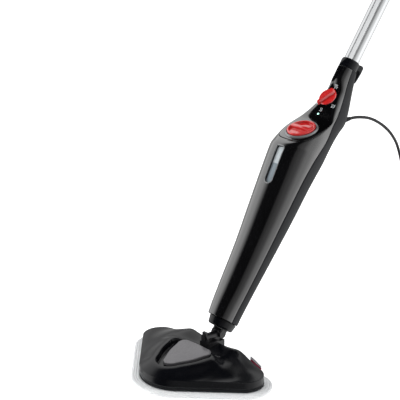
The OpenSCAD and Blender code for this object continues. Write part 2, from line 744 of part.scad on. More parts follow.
module upper_cord_hook() {
    color(MATT) on_mast() {
        translate([0, 15, hook_w]) rotate([-90, 0, 0]) cylinder(r = 3, h = 6);
        translate([0, 20.4, hook_w]) rotate([-90, 0, 0]) cylinder(r = 9, h = 24);
        translate([-7, 38.4, hook_w]) cube([14, 6, 34]);
    }
}

module lower_cord_hook() {
    color(MATT) on_mast() difference() {
        translate([-7, 0, 0]) rotate([90, 0, 90]) linear_extrude(height = 14)
            polygon([[12, 530], [12, 537], [26, 541], [29.5, 541], [31.5, 538.5], [31.5, 528], [28.8, 508],
                [25.8, 508], [27.6, 526], [26, 530]]);
        translate([0, 0, 500]) cylinder(r = 17.05, h = 50);
    }
}

// ---------------------------------------------------------------- cord
gland_at = mast_to_world([0, 41.5, 434]);
gland_dir = [0, 1, 0];
gland_len = 7;
relief_len = 24;
// Stands +Z along the way the lead leaves the body, straight back
module at_gland() {
    translate([0, gland_at[1], gland_at[2]]) rotate([-90, 0, 0]) children();
}
module cord_gland() {
    color(MATT) at_gland() translate([0, 0, -6]) difference() {
        union() {
            cylinder(r = 6, h = gland_len + 6);
            translate([0, 0, 6]) cylinder(r = 7, h = gland_len - 1);
        }
        translate([0, 0, -1]) cylinder(r = cord_d / 2, h = gland_len + 8);
    }
}

module strain_relief() {
    color(DARK) at_gland() translate([0, 0, gland_len]) difference() {
        cylinder(r1 = 5.4, r2 = cord_d / 2 + 0.6, h = relief_len);
        translate([0, 0, -1]) cylinder(r = cord_d / 2, h = relief_len + 2);
    }
}

// Lead from the strain relief, over in an arc, down to the floor and into the coil
coil_at = [70, 650];
coil_h = coil_rows * cord_d;
coil_half = coil_cols * cord_d / 2;
cord_z = cord_d / 2;
CORD_ROUTE = [[0, gland_at[1] + gland_len, gland_at[2]], [0, 333, gland_at[2]], [0, 357, 371.5], [0, 384, 363],
    [0, 412, 347.5], [0, 437, 328], [0, 457.5, 304], [0, 471, 277], [2, 481, 240], [4, 488, 190], [7, 498, 130],
    [11, 510, 75], [16, 525, 34], [20, 545, 12], [21, 575, 3.6], [17, 615, cord_z], [15, 650, cord_z]];
module cord_run() {
    color(DARK) tube_along(spline(CORD_ROUTE, 4), cord_z, 8);
}

module cord_coil() {
    color(DARK) translate([coil_at[0], coil_at[1], 0]) ring(coil_r + coil_half, coil_r - coil_half, coil_h);
}

module coil_tie() {
    r = coil_half;
    color(WHITE) translate([coil_at[0] + coil_r, coil_at[1], 0]) difference() {
        translate([-r - 1.5, -4, 0.2]) cube([2 * r + 3, 8, coil_h + 1.3]);
        translate([-r - 0.05, -5, -1]) cube([2 * r + 0.1, 10, coil_h + 1.05]);
    }
}

// The end of the lead leaves the coil's outside and runs to the plug
plug_at = [128, 712];
plug_r = 17;
plug_entry = 14;
TAIL_ROUTE = [[70, coil_at[1] + coil_r + cord_d, coil_h - cord_z], [84, 702, 20.5], [98, 708.5, 19],
    [plug_at[0] - plug_entry, plug_at[1], plug_r]];
module cord_tail() {
    color(DARK) tube_along(spline(TAIL_ROUTE, 4), cord_z, 8);
}

module at_plug() {
    translate([plug_at[0], plug_at[1], plug_r]) children();
}
module plug() {
    color(DARK) at_plug() rotate([0, 90, 0]) {
        cylinder(r1 = plug_r - 3, r2 = plug_r, h = 22);
        translate([0, 0, 22]) cylinder(r = plug_r, h = 12);
        translate([0, 0, -plug_entry]) cylinder(r1 = 5, r2 = 9, h = plug_entry);
    }
}

module plug_pins() {
    color(METAL) at_plug() for (side = [-1, 1]) translate([34, side * 9.5, 0]) rotate([0, 90, 0])
        cylinder(r = 2.4, h = 19);
}

mop_pad();
pad_label();
hook_strips();
head_base();
head_cover();
badge_plate();
steam_manifold();
steam_nozzles();
pivot_cradle();
roll_pin();
head_screws();
knuckle();
pitch_pins();
neck_fork();
lower_collar();
front_shell();
back_shell();
control_panel();
filler_bezel();
filler_neck();
water_tank();
tank_lid();
tank_window();
status_lens();
control_board();
rotary_switch();
pump();
pump_mounts();
water_hoses();
check_valve();
boiler();
thermostat();
steam_pipe();
wire_loom();
body_screws();
tube_collar();
tube_spigot();
upper_tube();
grip_shell();
grip_insert();
grip_cap();
hook_clamp();
lower_cord_hook();
steam_knob();
knob_shaft();
knob_seat();
cap_plug();
cap_seal();
tank_cap();
lock_button();
upper_cord_hook();
cord_gland();
strain_relief();
cord_run();
cord_coil();
cord_tail();
coil_tie();
plug();
plug_pins();
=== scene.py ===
# Looks of an upright steam mop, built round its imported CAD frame. Lengths are in metres; numbers
# that repeat the CAD's own rows are in millimetres and turned into metres where points are made.
import math

import bpy
import numpy as np
from mathutils import Matrix, Vector


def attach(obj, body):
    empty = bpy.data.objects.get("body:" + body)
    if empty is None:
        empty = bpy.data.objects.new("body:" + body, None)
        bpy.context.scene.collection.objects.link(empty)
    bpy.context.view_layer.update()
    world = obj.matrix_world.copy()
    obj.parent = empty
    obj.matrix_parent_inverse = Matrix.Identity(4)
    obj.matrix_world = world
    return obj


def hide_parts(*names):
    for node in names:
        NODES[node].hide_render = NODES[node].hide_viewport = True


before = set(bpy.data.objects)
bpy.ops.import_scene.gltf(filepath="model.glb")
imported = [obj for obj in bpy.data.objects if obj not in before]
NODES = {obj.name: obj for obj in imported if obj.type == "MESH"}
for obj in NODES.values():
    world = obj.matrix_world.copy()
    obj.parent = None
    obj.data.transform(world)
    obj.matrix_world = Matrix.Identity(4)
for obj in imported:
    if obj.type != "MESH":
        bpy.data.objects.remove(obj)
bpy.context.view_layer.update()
scene = bpy.context.scene
MM = 0.001
rng = np.random.default_rng(7)


def frame_at(place, degrees, axis="X"):
    """Frame at a place, turned about one axis."""
    return Matrix.Translation(Vector(place)) @ Matrix.Rotation(math.radians(degrees), 4, axis)


# ---------------------------------------------------------------- camera
AZIMUTH, ELEVATION = 47.2068, 20.0975
camera_data = bpy.data.cameras.new("camera")
camera_data.sensor_width = 36.0
camera_data.lens = 132.22
camera_data.clip_end = 50
camera = bpy.data.objects.new("camera", camera_data)
camera.location = (1.6844, -1.60335, 1.1502)
camera.rotation_euler = (math.radians(90 - ELEVATION), 0, math.radians(AZIMUTH))
scene.collection.objects.link(camera)
scene.camera = camera

# ---------------------------------------------------------------- places
LEAN = 37.0
PIVOT_Z = 53.5
LEAN_C, LEAN_S = math.cos(math.radians(LEAN)), math.sin(math.radians(LEAN))
MAST = frame_at((0, 0, PIVOT_Z * MM), -LEAN)


def on_mast(points):
    """Mast coordinates (x, back, up along the mast) in mm to the row frame in metres."""
    p = np.asarray(points, float)
    return np.stack([p[..., 0], p[..., 1] * LEAN_C + p[..., 2] * LEAN_S,
                     PIVOT_Z - p[..., 1] * LEAN_S + p[..., 2] * LEAN_C], -1) * MM


def mast_face(v, w, tilt):
    """Stands +Z out of the mast's front, leaning up by tilt."""
    return MAST @ frame_at((0, v * MM, w * MM), 90 - tilt)


def smooth_step(u):
    c = np.clip(u, 0, 1)
    return c * c * (3 - 2 * c)


def smooth_max(a, b, k):
    return (a + b + np.sqrt((a - b) ** 2 + k * k)) / 2


def smooth_min(a, b, k):
    return -smooth_max(-a, -b, k)


def signed_pow(a, e):
    return np.sign(a) * np.abs(a) ** e


# ---------------------------------------------------------------- node materials
def set_inputs(node, **values):
    """Constants on a node's inputs; underscores stand for the spaces in their names."""
    for name, value in values.items():
        node.inputs[name.replace("_", " ")].default_value = value
    return node


def noise(tree, scale, detail=3.0, rough=0.5, stretch=(1, 1, 1), kind="ShaderNodeTexNoise"):
    """Texture in the piece's own coordinates, which are the row frame's."""
    where = tree.nodes.new("ShaderNodeTexCoord")
    mapping = set_inputs(tree.nodes.new("ShaderNodeMapping"), Scale=stretch)
    texture = set_inputs(tree.nodes.new(kind), Scale=scale)
    if kind == "ShaderNodeTexNoise":
        set_inputs(texture, Detail=detail, Roughness=rough)
    tree.links.new(where.outputs["Object"], mapping.inputs["Vector"])
    tree.links.new(mapping.outputs["Vector"], texture.inputs["Vector"])
    return texture


def spread(tree, source, low, high):
    """Maps the middle of a 0..1 output onto low..high."""
    node = set_inputs(tree.nodes.new("ShaderNodeMapRange"), From_Min=0.3, From_Max=0.7, To_Min=low,
                      To_Max=high)
    tree.links.new(source, node.inputs["Value"])
    return node.outputs["Result"]


def mix_colours(tree, factor, a, b):
    node = tree.nodes.new("ShaderNodeMix")
    node.data_type = "RGBA"
    for socket, colour in (("A", a), ("B", b)):
        target = [s for s in node.inputs if s.name == socket and s.type == "RGBA"][0]
        if hasattr(colour, "links"):
            tree.links.new(colour, target)
        else:
            target.default_value = (*colour, 1)
    tree.links.new(factor, [s for s in node.inputs if s.name == "Factor" and s.type == "VALUE"][0])
    return [s for s in node.outputs if s.type == "RGBA"][0]


def new_material(name):
    material = bpy.data.materials.new(name)
    material.use_nodes = True
    tree = material.node_tree
    return material, tree, tree.nodes["Principled BSDF"]


def add_bump(tree, shader, heights, distance=0.0002):
    """Chains bump nodes, one for each (output, strength) pair."""
    before = None
    for output, strength in heights:
        node = set_inputs(tree.nodes.new("ShaderNodeBump"), Distance=distance, Strength=strength)
        tree.links.new(output, node.inputs["Height"])
        if before:
            tree.links.new(before, node.inputs["Normal"])
        before = node.outputs["Normal"]
    tree.links.new(before, shader.inputs["Normal"])


def moulded(name, colour, rough, vary=0.12, grain=900, bump=0.10, ior=1.5, metallic=0.0, coat=0.0,
            stretch=(1, 1, 1), rough_vary=0.25, specular=0.5):
    """Moulded or finished solid: slow colour patches, fine grain in bump and roughness."""
    material, tree, shader = new_material(name)
    set_inputs(shader, IOR=ior, Metallic=metallic, Specular_IOR_Level=specular, Coat_Weight=coat,
               Coat_Roughness=0.04)
    patches = noise(tree, 22, 4, 0.6)
    dark = tuple(c * (1 - vary) for c in colour)
    pale = tuple(min(1, c * (1 + vary)) for c in colour)
    factor = spread(tree, patches.outputs[0], 0, 1)
    tree.links.new(mix_colours(tree, factor, dark, pale), shader.inputs["Base Color"])
    fine = noise(tree, grain, 2, 0.5, stretch)
    varied = spread(tree, fine.outputs[0], rough * (1 - rough_vary), rough * (1 + rough_vary))
    tree.links.new(varied, shader.inputs["Roughness"])
    add_bump(tree, shader, [(fine.outputs[0], bump)])
    return material


def fabric(name, colour, dark, scale, bump, sheen=0.4):
    """Looped or woven cloth: cells for the loops and noise for the nap."""
    material, tree, shader = new_material(name)
    set_inputs(shader, Sheen_Weight=sheen, Sheen_Roughness=0.6)
    loops = noise(tree, scale, kind="ShaderNodeTexVoronoi")
    nap = noise(tree, scale * 0.6, 5, 0.7)
    patches = noise(tree, 30, 3, 0.6)
    deep = mix_colours(tree, spread(tree, loops.outputs[0], 0.0, 0.9), colour, dark)
    tree.links.new(mix_colours(tree, spread(tree, patches.outputs[0], 0.0, 0.35), deep, dark),
                   shader.inputs["Base Color"])
    tree.links.new(spread(tree, nap.outputs[0], 0.75, 0.98), shader.inputs["Roughness"])
    add_bump(tree, shader, [(loops.outputs[0], bump), (nap.outputs[0], bump)], distance=0.0006)
    return material


def clear_plastic(name, colour, rough, transmission):
    material, tree, shader = new_material(name)
    fine = noise(tree, 240, 3, 0.5)
    patches = noise(tree, 30, 3, 0.6)
    pale = tuple(min(1, c * 1.06) for c in colour)
    tree.links.new(mix_colours(tree, patches.outputs[0], colour, pale), shader.inputs["Base Color"])
    varied = spread(tree, fine.outputs[0], rough * 0.8, rough * 1.2)
    tree.links.new(varied, shader.inputs["Roughness"])
    set_inputs(shader, Transmission_Weight=transmission, IOR=1.45)
    add_bump(tree, shader, [(fine.outputs[0], 0.03)])
    return material


def glowing(material, colour, strength):
    shader = material.node_tree.nodes["Principled BSDF"]
    set_inputs(shader, Emission_Color=(*colour, 1), Emission_Strength=strength)
    return material


GLOSS = moulded("gloss_black", (0.0022, 0.0022, 0.0026), 0.09, vary=0.3, grain=420, bump=0.003, ior=1.6,
                rough_vary=0.1, specular=1.0, coat=1.0)
HEAD_GLOSS = moulded("satin_black", (0.0022, 0.0024, 0.0034), 0.19, vary=0.3, grain=700, bump=0.006,
                     rough_vary=0.1, specular=0.3)
MATT = moulded("matt_black", (0.010, 0.0105, 0.012), 0.50, 0.15, 2600, 0.2, specular=0.2)
DARK = moulded("dark_satin", (0.008, 0.008, 0.009), 0.34, 0.2, 1600, 0.12, specular=0.4)
GREY = moulded("badge_grey", (0.135, 0.131, 0.137), 0.28, 0.06, 1800, 0.04, metallic=0.35)
RED = moulded("red_gloss", (0.53, 0.017, 0.017), 0.15, 0.08, 500, 0.02, coat=0.9, specular=0.8)
RIM = moulded("pale_rim", (0.24, 0.245, 0.25), 0.20, 0.06, 900, 0.04, metallic=0.55)
ALUMINIUM = moulded("satin_aluminium", (0.68, 0.69, 0.70), 0.21, 0.03, 900, 0.03, metallic=1.0,
                    stretch=(1, 1, 0.05))
STEEL = moulded("machined_steel", (0.55, 0.56, 0.58), 0.28, 0.06, 1500, 0.08, metallic=1.0)
BRASS = moulded("brass", (0.72, 0.52, 0.22), 0.28, 0.08, 1200, 0.08, metallic=1.0)
RUBBER = moulded("rubber", (0.014, 0.014, 0.016), 0.62, 0.2, 3000, 0.35, specular=0.25)
SHEATH = moulded("lead_sheath", (0.006, 0.006, 0.007), 0.40, 0.15, 1500, 0.10, specular=0.3)
BOARD = moulded("circuit_board", (0.03, 0.20, 0.09), 0.35, 0.2, 800, 0.1)
SILICONE = moulded("silicone", (0.70, 0.70, 0.68), 0.45, 0.05, 900, 0.06)
INK = moulded("icon_ink", (0.62, 0.66, 0.67), 0.4, 0.1, 2000, 0.05)
PAD = fabric("microfibre", (0.90, 0.90, 0.89), (0.70, 0.71, 0.72), 900, 0.55)
WOVEN_RED = fabric("woven_red", (0.62, 0.045, 0.13), (0.40, 0.02, 0.07), 2500, 0.3, 0.2)
WOVEN_WHITE = fabric("woven_white", (0.85, 0.83, 0.84), (0.62, 0.60, 0.62), 2500, 0.3, 0.2)
TANK = clear_plastic("tank_clear", (0.62, 0.70, 0.74), 0.14, 0.55)
WATER_GLASS = clear_plastic("window_wet", (0.23, 0.27, 0.30), 0.12, 0.25)
DRY_GLASS = clear_plastic("window_dry", (0.52, 0.56, 0.58), 0.16, 0.25)
LED = glowing(clear_plastic("led_mint", (0.45, 0.85, 0.72), 0.2, 0.3), (0.45, 0.95, 0.78), 0.9)


# ---------------------------------------------------------------- mesh makers
def link(obj):
    scene.collection.objects.link(obj)
    return obj


def make_mesh(name, vertices, faces, material, sharp=None):
    mesh = bpy.data.meshes.new(name)
    mesh.from_pydata([tuple(v) for v in np.asarray(vertices, float)], [], faces)
    mesh.validate()
    mesh.update()
    mesh.materials.append(material)
    mesh.shade_smooth()
    if sharp:
        mesh.set_sharp_from_angle(angle=math.radians(sharp))
    return link(bpy.data.objects.new(name, mesh))


def grid_faces(ni, nj, closed_i=False, closed_j=False, flip=False, start=0):
    faces = []
    for i in range(ni if closed_i else ni - 1):
        for j in range(nj if closed_j else nj - 1):
            row, next_row = start + i * nj, start + (i + 1) % ni * nj
            quad = (row + j, next_row + j, next_row + (j + 1) % nj, row + (j + 1) % nj)
            faces.append(quad[::-1] if flip else quad)
    return faces


def grid_piece(name, points, material, closed_i=False, closed_j=False, flip=False, caps=(), sharp=None,
               matrix=None):
    """Skin over a grid of points (ni, nj, 3) in metres; caps closes the first and last rows."""
    p = np.asarray(points, float)
    if matrix is not None:
        m = np.array(matrix)
        p = p @ m[:3, :3].T + m[:3, 3]
    ni, nj = p.shape[:2]
    faces = grid_faces(ni, nj, closed_i, closed_j, flip)
    first, final = list(range(nj)), [(ni - 1) * nj + j for j in range(nj)]
    if "first" in caps:
        faces.append(tuple(first if not flip else first[::-1]))
    if "last" in caps:
        faces.append(tuple(final[::-1] if not flip else final))
    return make_mesh(name, p.reshape(-1, 3), faces, material, sharp)


def solid(name, rings, material, sharp=50, flip=False, matrix=None):
    """Closed skin over rings of points, capped at both ends."""
    return grid_piece(name, rings, material, closed_j=True, flip=flip, caps=("first", "last"), sharp=sharp,
                      matrix=matrix)


def arc(centre, radius, start, end, count):
    """Points of a plane arc between two angles."""
    a = np.linspace(start, end, count)
    return np.stack([centre[0] + radius * np.cos(a), centre[1] + radius * np.sin(a)], 1)


def lathe(name, profile, material, matrix, segments=96, sharp=40):
    """Turns a closed or open (radius, height) profile in mm round the matrix's +Z."""
    angle = np.linspace(0, 2 * math.pi, segments, endpoint=False)
    rings = [[(r * math.cos(a) * MM, r * math.sin(a) * MM, z * MM) for a in angle] for r, z in profile]
    return grid_piece(name, rings, material, closed_j=True, flip=True, sharp=sharp, matrix=matrix)


def rounded_profile(corners, radius):
    """Rounds the inner corners of an open line of (r, z) points."""
    out = [corners[0]]
    for a, b, c in zip(corners, corners[1:], corners[2:]):
        a, b, c = (np.array(q, float) for q in (a, b, c))
        reach = min(radius, np.linalg.norm(a - b) * 0.45, np.linalg.norm(c - b) * 0.45)
        p, q = (b + (end - b) / np.linalg.norm(end - b) * reach for end in (a, c))
        for u in (0, 0.25, 0.5, 0.75, 1):
            out.append(tuple((1 - u) ** 2 * p + 2 * u * (1 - u) * b + u * u * q))
    return out + [corners[-1]]


def soft_lathe(name, corners, radius, material, matrix, segments):
    """Turned part whose profile has rounded corners."""
    return lathe(name, rounded_profile(corners, radius), material, matrix, segments)


def side_normals(plan):
    """Unit normals of a closed outline, to the right of its run."""
    ahead, behind = np.roll(plan, -1, 0), np.roll(plan, 1, 0)
    tangent = (ahead - behind) / np.linalg.norm(ahead - behind, axis=1)[:, None]
    return np.stack([tangent[:, 1], -tangent[:, 0]], 1)


def stacked(name, outline, levels, material, matrix, sharp):
    """Solid from one closed plan outline in mm, drawn at (inset, height) levels."""
    plan = np.array(outline, float)
    centre = plan.mean(0)
    normal = side_normals(plan)
    if ((plan - centre) * normal).sum() < 0:
        normal = -normal
    rings = [np.column_stack([plan - normal * inset, np.full(len(plan), z)]) * MM for inset, z in levels]
    flip = np.cross(plan[0] - centre, plan[1] - centre) > 0
    return solid(name, rings, material, sharp, bool(flip), matrix)


def join(name, pieces):
    """One object from several, keeping each one's material."""
    vertices, faces, picks, materials = [], [], [], []
    for piece in pieces:
        mesh = piece.data
        offset = len(vertices)
        for m in mesh.materials:
            if m not in materials:
                materials.append(m)
        vertices += [piece.matrix_world @ v.co for v in mesh.vertices]
        faces += [tuple(i + offset for i in f.vertices) for f in mesh.polygons]
        picks += [materials.index(mesh.materials[f.material_index]) for f in mesh.polygons]
        bpy.data.objects.remove(piece)
    mesh = bpy.data.meshes.new(name)
    mesh.from_pydata(vertices, [], faces)
    for m in materials:
        mesh.materials.append(m)
    mesh.polygons.foreach_set("material_index", picks)
    mesh.shade_smooth()
    mesh.set_sharp_from_angle(angle=math.radians(42))
    return link(bpy.data.objects.new(name, mesh))


def placed(piece, body, slot, *nodes):
    """The piece rides on a body and may stand for CAD nodes, which it hides; slot is not used."""
    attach(piece, body)
    if nodes:
        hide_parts(*nodes)
    return piece


def catmull(points, steps):
    p = np.array(points, float)
    out = []
    for i in range(len(p) - 1):
        a, b, c, d = p[max(i - 1, 0)], p[i], p[i + 1], p[min(i + 2, len(p) - 1)]
        for k in range(steps):
            u = k / steps
            out.append(0.5 * (2 * b + (c - a) * u + (2 * a - 5 * b + 4 * c - d) * u * u
                              + (3 * b - a - 3 * c + d) * u ** 3))
    return np.array(out + [p[-1]])


# ---------------------------------------------------------------- the lead
CORD_D = 5.5
GLAND = np.array([0, 41.5 * LEAN_C + 434 * LEAN_S, PIVOT_Z - 41.5 * LEAN_S + 434 * LEAN_C])
GLAND_LEN = 7.0
COIL_AT, COIL_R, TURNS = np.array([70.0, 650.0]), 44.0, 18.25
COLUMNS, LAYERS = 5, 4
CORD_Z = CORD_D / 2
cord_exit = GLAND + np.array([0, GLAND_LEN, 0])
CORD_ROUTE = [
    cord_exit, [0, 333, GLAND[2]], [0, 357, 371.5], [0, 384, 363], [0, 412, 347.5], [0, 437, 328],
    [0, 457.5, 304], [0, 471, 277], [2, 481, 240], [4, 488, 190], [7, 498, 130], [11, 510, 75],
    [16, 525, 34], [20, 545, 12], [21, 575, 3.6], [17, 615, CORD_Z], [15, 650, CORD_Z]]
PLUG_AT = np.array([128, 712])
PLUG_R, PLUG_ENTRY, PLUG_LEN, PIN_ASIDE = 17.0, 14.0, 34, 9.5


def coil_slots():
    """(radius, height) of each turn: layers wound inwards and outwards in turn."""
    slots = []
    middle = (COLUMNS - 1) / 2
    for layer in range(LAYERS):
        across = range(COLUMNS - 1, -1, -1) if layer % 2 == 0 else range(COLUMNS)
        slots += [(COIL_R + (k - middle) * CORD_D, CORD_Z + layer * CORD_D) for k in across]
    return slots


def coil_point(turn, slots):
    n = min(int(turn), len(slots) - 2)
    f = turn - n
    (r0, z0), (r1, z1) = slots[n], slots[n + 1]
    r = r0 + (r1 - r0) * float(smooth_step((f - 0.86) / 0.14))
    z = z0 + (z1 - z0) * float(smooth_step((f - 0.70) / 0.16))
    angle = math.pi - 2 * math.pi * turn
    return [COIL_AT[0] + r * math.cos(angle), COIL_AT[1] + r * math.sin(angle), z]


slots = coil_slots()
coil_points = [coil_point(t, slots) for t in np.arange(1 / 40, TURNS, 1 / 40)]
tail_start = coil_point(TURNS, slots)
PLUG_BACK = PLUG_AT[0] - PLUG_ENTRY
TAIL_ROUTE = [coil_points[-1], [84, tail_start[1] + 2.2, tail_start[2] + 1.0], [98, 708, 20.5],
              [PLUG_BACK - 6, PLUG_AT[1], PLUG_R + 0.3], [PLUG_BACK + 6, PLUG_AT[1], PLUG_R]]
cord_line = np.concatenate([catmull(CORD_ROUTE, 7), coil_points[:-1], catmull(TAIL_ROUTE, 8)]) * MM
curve = bpy.data.curves.new("lead", "CURVE")
curve.dimensions = "3D"
spline = curve.splines.new("POLY")
spline.points.add(len(cord_line) - 1)
spline.points.foreach_set("co", np.column_stack([cord_line, np.ones(len(cord_line))]).ravel())
curve.bevel_depth = CORD_D / 2 * MM
curve.bevel_resolution = 3
curve.use_fill_caps = True
curve.materials.append(SHEATH)
lead = link(bpy.data.objects.new("lead", curve))
placed(lead, "mast", "cord_black", "cord_run", "cord_coil", "cord_tail")


def ribbed_relief():
    """Tapered bend relief with round grooves, from the gland out along the lead's start."""
    line = catmull(CORD_ROUTE[:3], 60) * MM
    length = np.concatenate([[0], np.cumsum(np.linalg.norm(np.diff(line, axis=0), axis=1))])
    rings = []
    for s in np.linspace(0, 0.024, 73):
        at = np.array([np.interp(s, length, line[:, k]) for k in range(3)])
        groove = 0.55 * max(0, math.sin(s * 1000 * 2 * math.pi / 3.4)) if 0.003 < s < 0.0215 else 0
        r = (5.4 - 2.0 * s / 0.024 - groove) * MM
        rings.append([at + r * np.array([math.cos(a), 0, math.sin(a)])
                      for a in np.linspace(0, 2 * math.pi, 40, endpoint=False)])
    return solid("lead_relief", rings, RUBBER, flip=True)


relief = placed(ribbed_relief(), "mast", "rubber", "strain_relief")
GLAND_FRAME = frame_at(GLAND * MM, -90)
gland = soft_lathe("gland_ring", [(2.9, -6), (6, -6), (6, 0), (7.6, 0), (7, 6.6), (2.9, 7)], 0.8, MATT,
                   GLAND_FRAME, 64)
placed(gland, "mast", "black_matt", "cord_gland")

PLUG_FRAME = frame_at((*PLUG_AT * MM, PLUG_R * MM), 90, "Y")


def plug_body():
    """Moulded round plug: ribbed entry, waisted grip and a flat face for the pins."""
    profile = [(0, -PLUG_ENTRY), (4.6, -PLUG_ENTRY)]
    profile += [(5.0 + 3.6 * u + 0.45 * math.sin(u * 28), -PLUG_ENTRY + PLUG_ENTRY * u)
                for u in np.linspace(0.05, 0.95, 26)]
    profile += [(10.5, 0.4), (13.2, 1.6), (14.2, 4), (14.6, 8), (14.9, 12), (15.6, 17), (16.6, 21),
                (PLUG_R, 24), (PLUG_R, 31.5), (16.6, 33), (15.6, 33.9), (0, PLUG_LEN)]
    return lathe("mains_plug", profile, RUBBER, PLUG_FRAME, 72, sharp=50)


plug = placed(plug_body(), "mast", "rubber", "plug")
PIN_LINE = [(0, 0), (2.4, 0), (2.4, 17.2), (2.0, 18.4), (1.2, 19), (0, 19)]
pins = [lathe("contact", PIN_LINE, BRASS,
              PLUG_FRAME @ Matrix.Translation((0, side * PIN_ASIDE * MM, PLUG_LEN * MM)), 40)
        for side in (-1, 1)]
contacts = placed(join("plug_contacts", pins), "mast", "brass", "plug_pins")


def tie_strap():
    """Flat strap once round the coil's bundle."""
    centre = np.array([COIL_AT[0] + COIL_R, COIL_AT[1], LAYERS / 2 * CORD_D])
    half, rise = COLUMNS / 2 * CORD_D + 0.9, LAYERS / 2 * CORD_D + 0.6
    outline = []
    for a in np.linspace(0, 2 * math.pi, 64, endpoint=False):
        c, s = math.cos(a), math.sin(a)
        outline.append([signed_pow(c, 0.35) * half, signed_pow(s, 0.35) * rise])
    rings = []
    for y, out in ((-4, 0.0), (-3.6, 0.6), (3.6, 0.6), (4, 0.0), (3.6, -0.2), (-3.6, -0.2)):
        grow = 1 + out / 15
        rings.append([[centre[0] + x * grow, centre[1] + y, max(0.15, centre[2] + 0.4 + z * grow)]
                      for x, z in outline])
    return grid_piece("coil_strap", np.array(rings) * MM, SILICONE, closed_i=True, closed_j=True, sharp=50)


tie = placed(tie_strap(), "mast", "hose", "coil_tie")

# ---------------------------------------------------------------- body shells
# Rows [height, half width, front, back] of the body's outside, as in the CAD
BODY = np.array([
    [23.5, 28, -32, 20.5], [46, 30, -34.5, 19], [83, 33, -37, 18], [158, 37.5, -44, 20],
    [232, 43, -54.5, 21], [290, 46.5, -63, 20.5], [336, 49, -69.5, 23], [345, 49, -68.5, 23.5],
    [381, 45.5, -56, 25], [406, 41, -43, 30], [431, 33.6, -29, 41], [456, 25.4, -21, 40.5],
    [477, 20.4, -18, 35], [500, 17.6, -17, 27], [520, 17, -16.8, 19]])
CAP_V, CAP_W, CAP_TILT = -38.7, 381.2, 38.9
CAP_R = 25.7
SECTION = 0.91


def along(w, column):
    """Smooth curve through one column of the body's rows."""
    x, y = BODY[:, 0], BODY[:, column]
    i = np.clip(np.searchsorted(x, w, side="right") - 1, 0, len(x) - 2)
    lo, hi = np.maximum(np.arange(len(x)) - 1, 0), np.minimum(np.arange(len(x)) + 1, len(x) - 1)
    slope = (y[hi] - y[lo]) / (x[hi] - x[lo])
    h = x[i + 1] - x[i]
    u = np.clip((w - x[i]) / h, 0, 1)
    return (y[i] * (2 * u ** 3 - 3 * u ** 2 + 1) + slope[i] * h * (u ** 3 - 2 * u ** 2 + u)
            + y[i + 1] * (3 * u ** 2 - 2 * u ** 3) + slope[i + 1] * h * (u ** 3 - u ** 2))


def facet(w):
    """Front of the neck and the slanted facet under the cap, at the middle."""
    neck = -11.6 + 0.06 * (w - 455) - 12 * smooth_step((w - 475) / 35)
    return smooth_min(CAP_V + (w - CAP_W) * math.tan(math.radians(CAP_TILT)), neck, 5)


def with_face(v, across, w, depth=0.0):
    """Pushes the section back behind the facet, which is crowned from side to side on the neck."""
    face = facet(w) + 2.5 * across ** 2 * smooth_step((w - 425) / 30)
    soft = 4 + 3 * smooth_step((w - 400) / 35) - 6 * smooth_step((w - 470) / 35)
    return smooth_max(v, face + depth, soft)


def body_points(w, t, depth):
    """Points on the body in mast mm; t in degrees, 0 is +X and -90 the front."""
    a = np.radians(t)
    half, front, back = along(w, 1) - depth, along(w, 2) + depth, along(w, 3) - depth
    v = (front + back) / 2 + (back - front) / 2 * signed_pow(np.sin(a), SECTION)
    across = signed_pow(np.cos(a), SECTION)
    return np.stack([half * across, with_face(v, across, w, depth), w + 0 * a], -1)


def front_v(x, w):
    """How far back the body's front is at a sideways place and height."""
    half, front, back = along(w, 1), along(w, 2), along(w, 3)
    c = np.clip(np.abs(x) / half, 0, 0.999) ** (1 / SECTION)
    v = (front + back) / 2 - (back - front) / 2 * np.sqrt(1 - c * c) ** SECTION
    return with_face(v, np.clip(x / half, -1, 1), w)


SEAM_T, BODY_LOW, BODY_HIGH = -10.0, 23.5, 520.0
# Rows [height, angle] of the seam between the front and back shells
SEAM = np.array([[0, -10], [220, -10], [300, -7], [345, -3], [383, 0], [422, -17], [600, -17]])


def follow_seam(t, w):
    """Turns the grid's straight sides at SEAM_T into the seam's real course up the body."""
    seam = np.interp(w, SEAM[:, 0], SEAM[:, 1])
    for shift in (-12, -6, 6, 12):
        seam = seam + np.interp(w + shift, SEAM[:, 0], SEAM[:, 1])
    seam = seam / 5
    front = -90 + (t + 90) * (seam + 90) / (SEAM_T + 90)
    back = 90 + (t - 90) * (90 - seam) / (90 - SEAM_T)
    return np.where(t > SEAM_T + 0.5, back, front)


def panel_edge(t):
    """Height of the panel's lower edge: a U that passes under the cap and climbs to the seams."""
    return 352.5 + 92 * (np.abs(t + 90) / 80) ** 3.0


def steps(length, step, radius=1.2):
    """Places along a side in mm, close together at both ends for a rounded edge."""
    near = [0, 0.12 * radius, 0.3 * radius, 0.6 * radius, radius]
    middle = np.linspace(radius, length - radius, max(2, int(round(length / step))))[1:-1]
    return np.array(near + list(middle) + [length - n for n in near[::-1]])


def fillet(distance, radius):
    """Depth under the outside at a distance from an edge, for a rounded edge."""
    d = np.clip(distance, 0, radius)
    return radius - np.sqrt(np.maximum(radius ** 2 - (radius - d) ** 2, 0))


MM_PER_DEGREE = 0.62


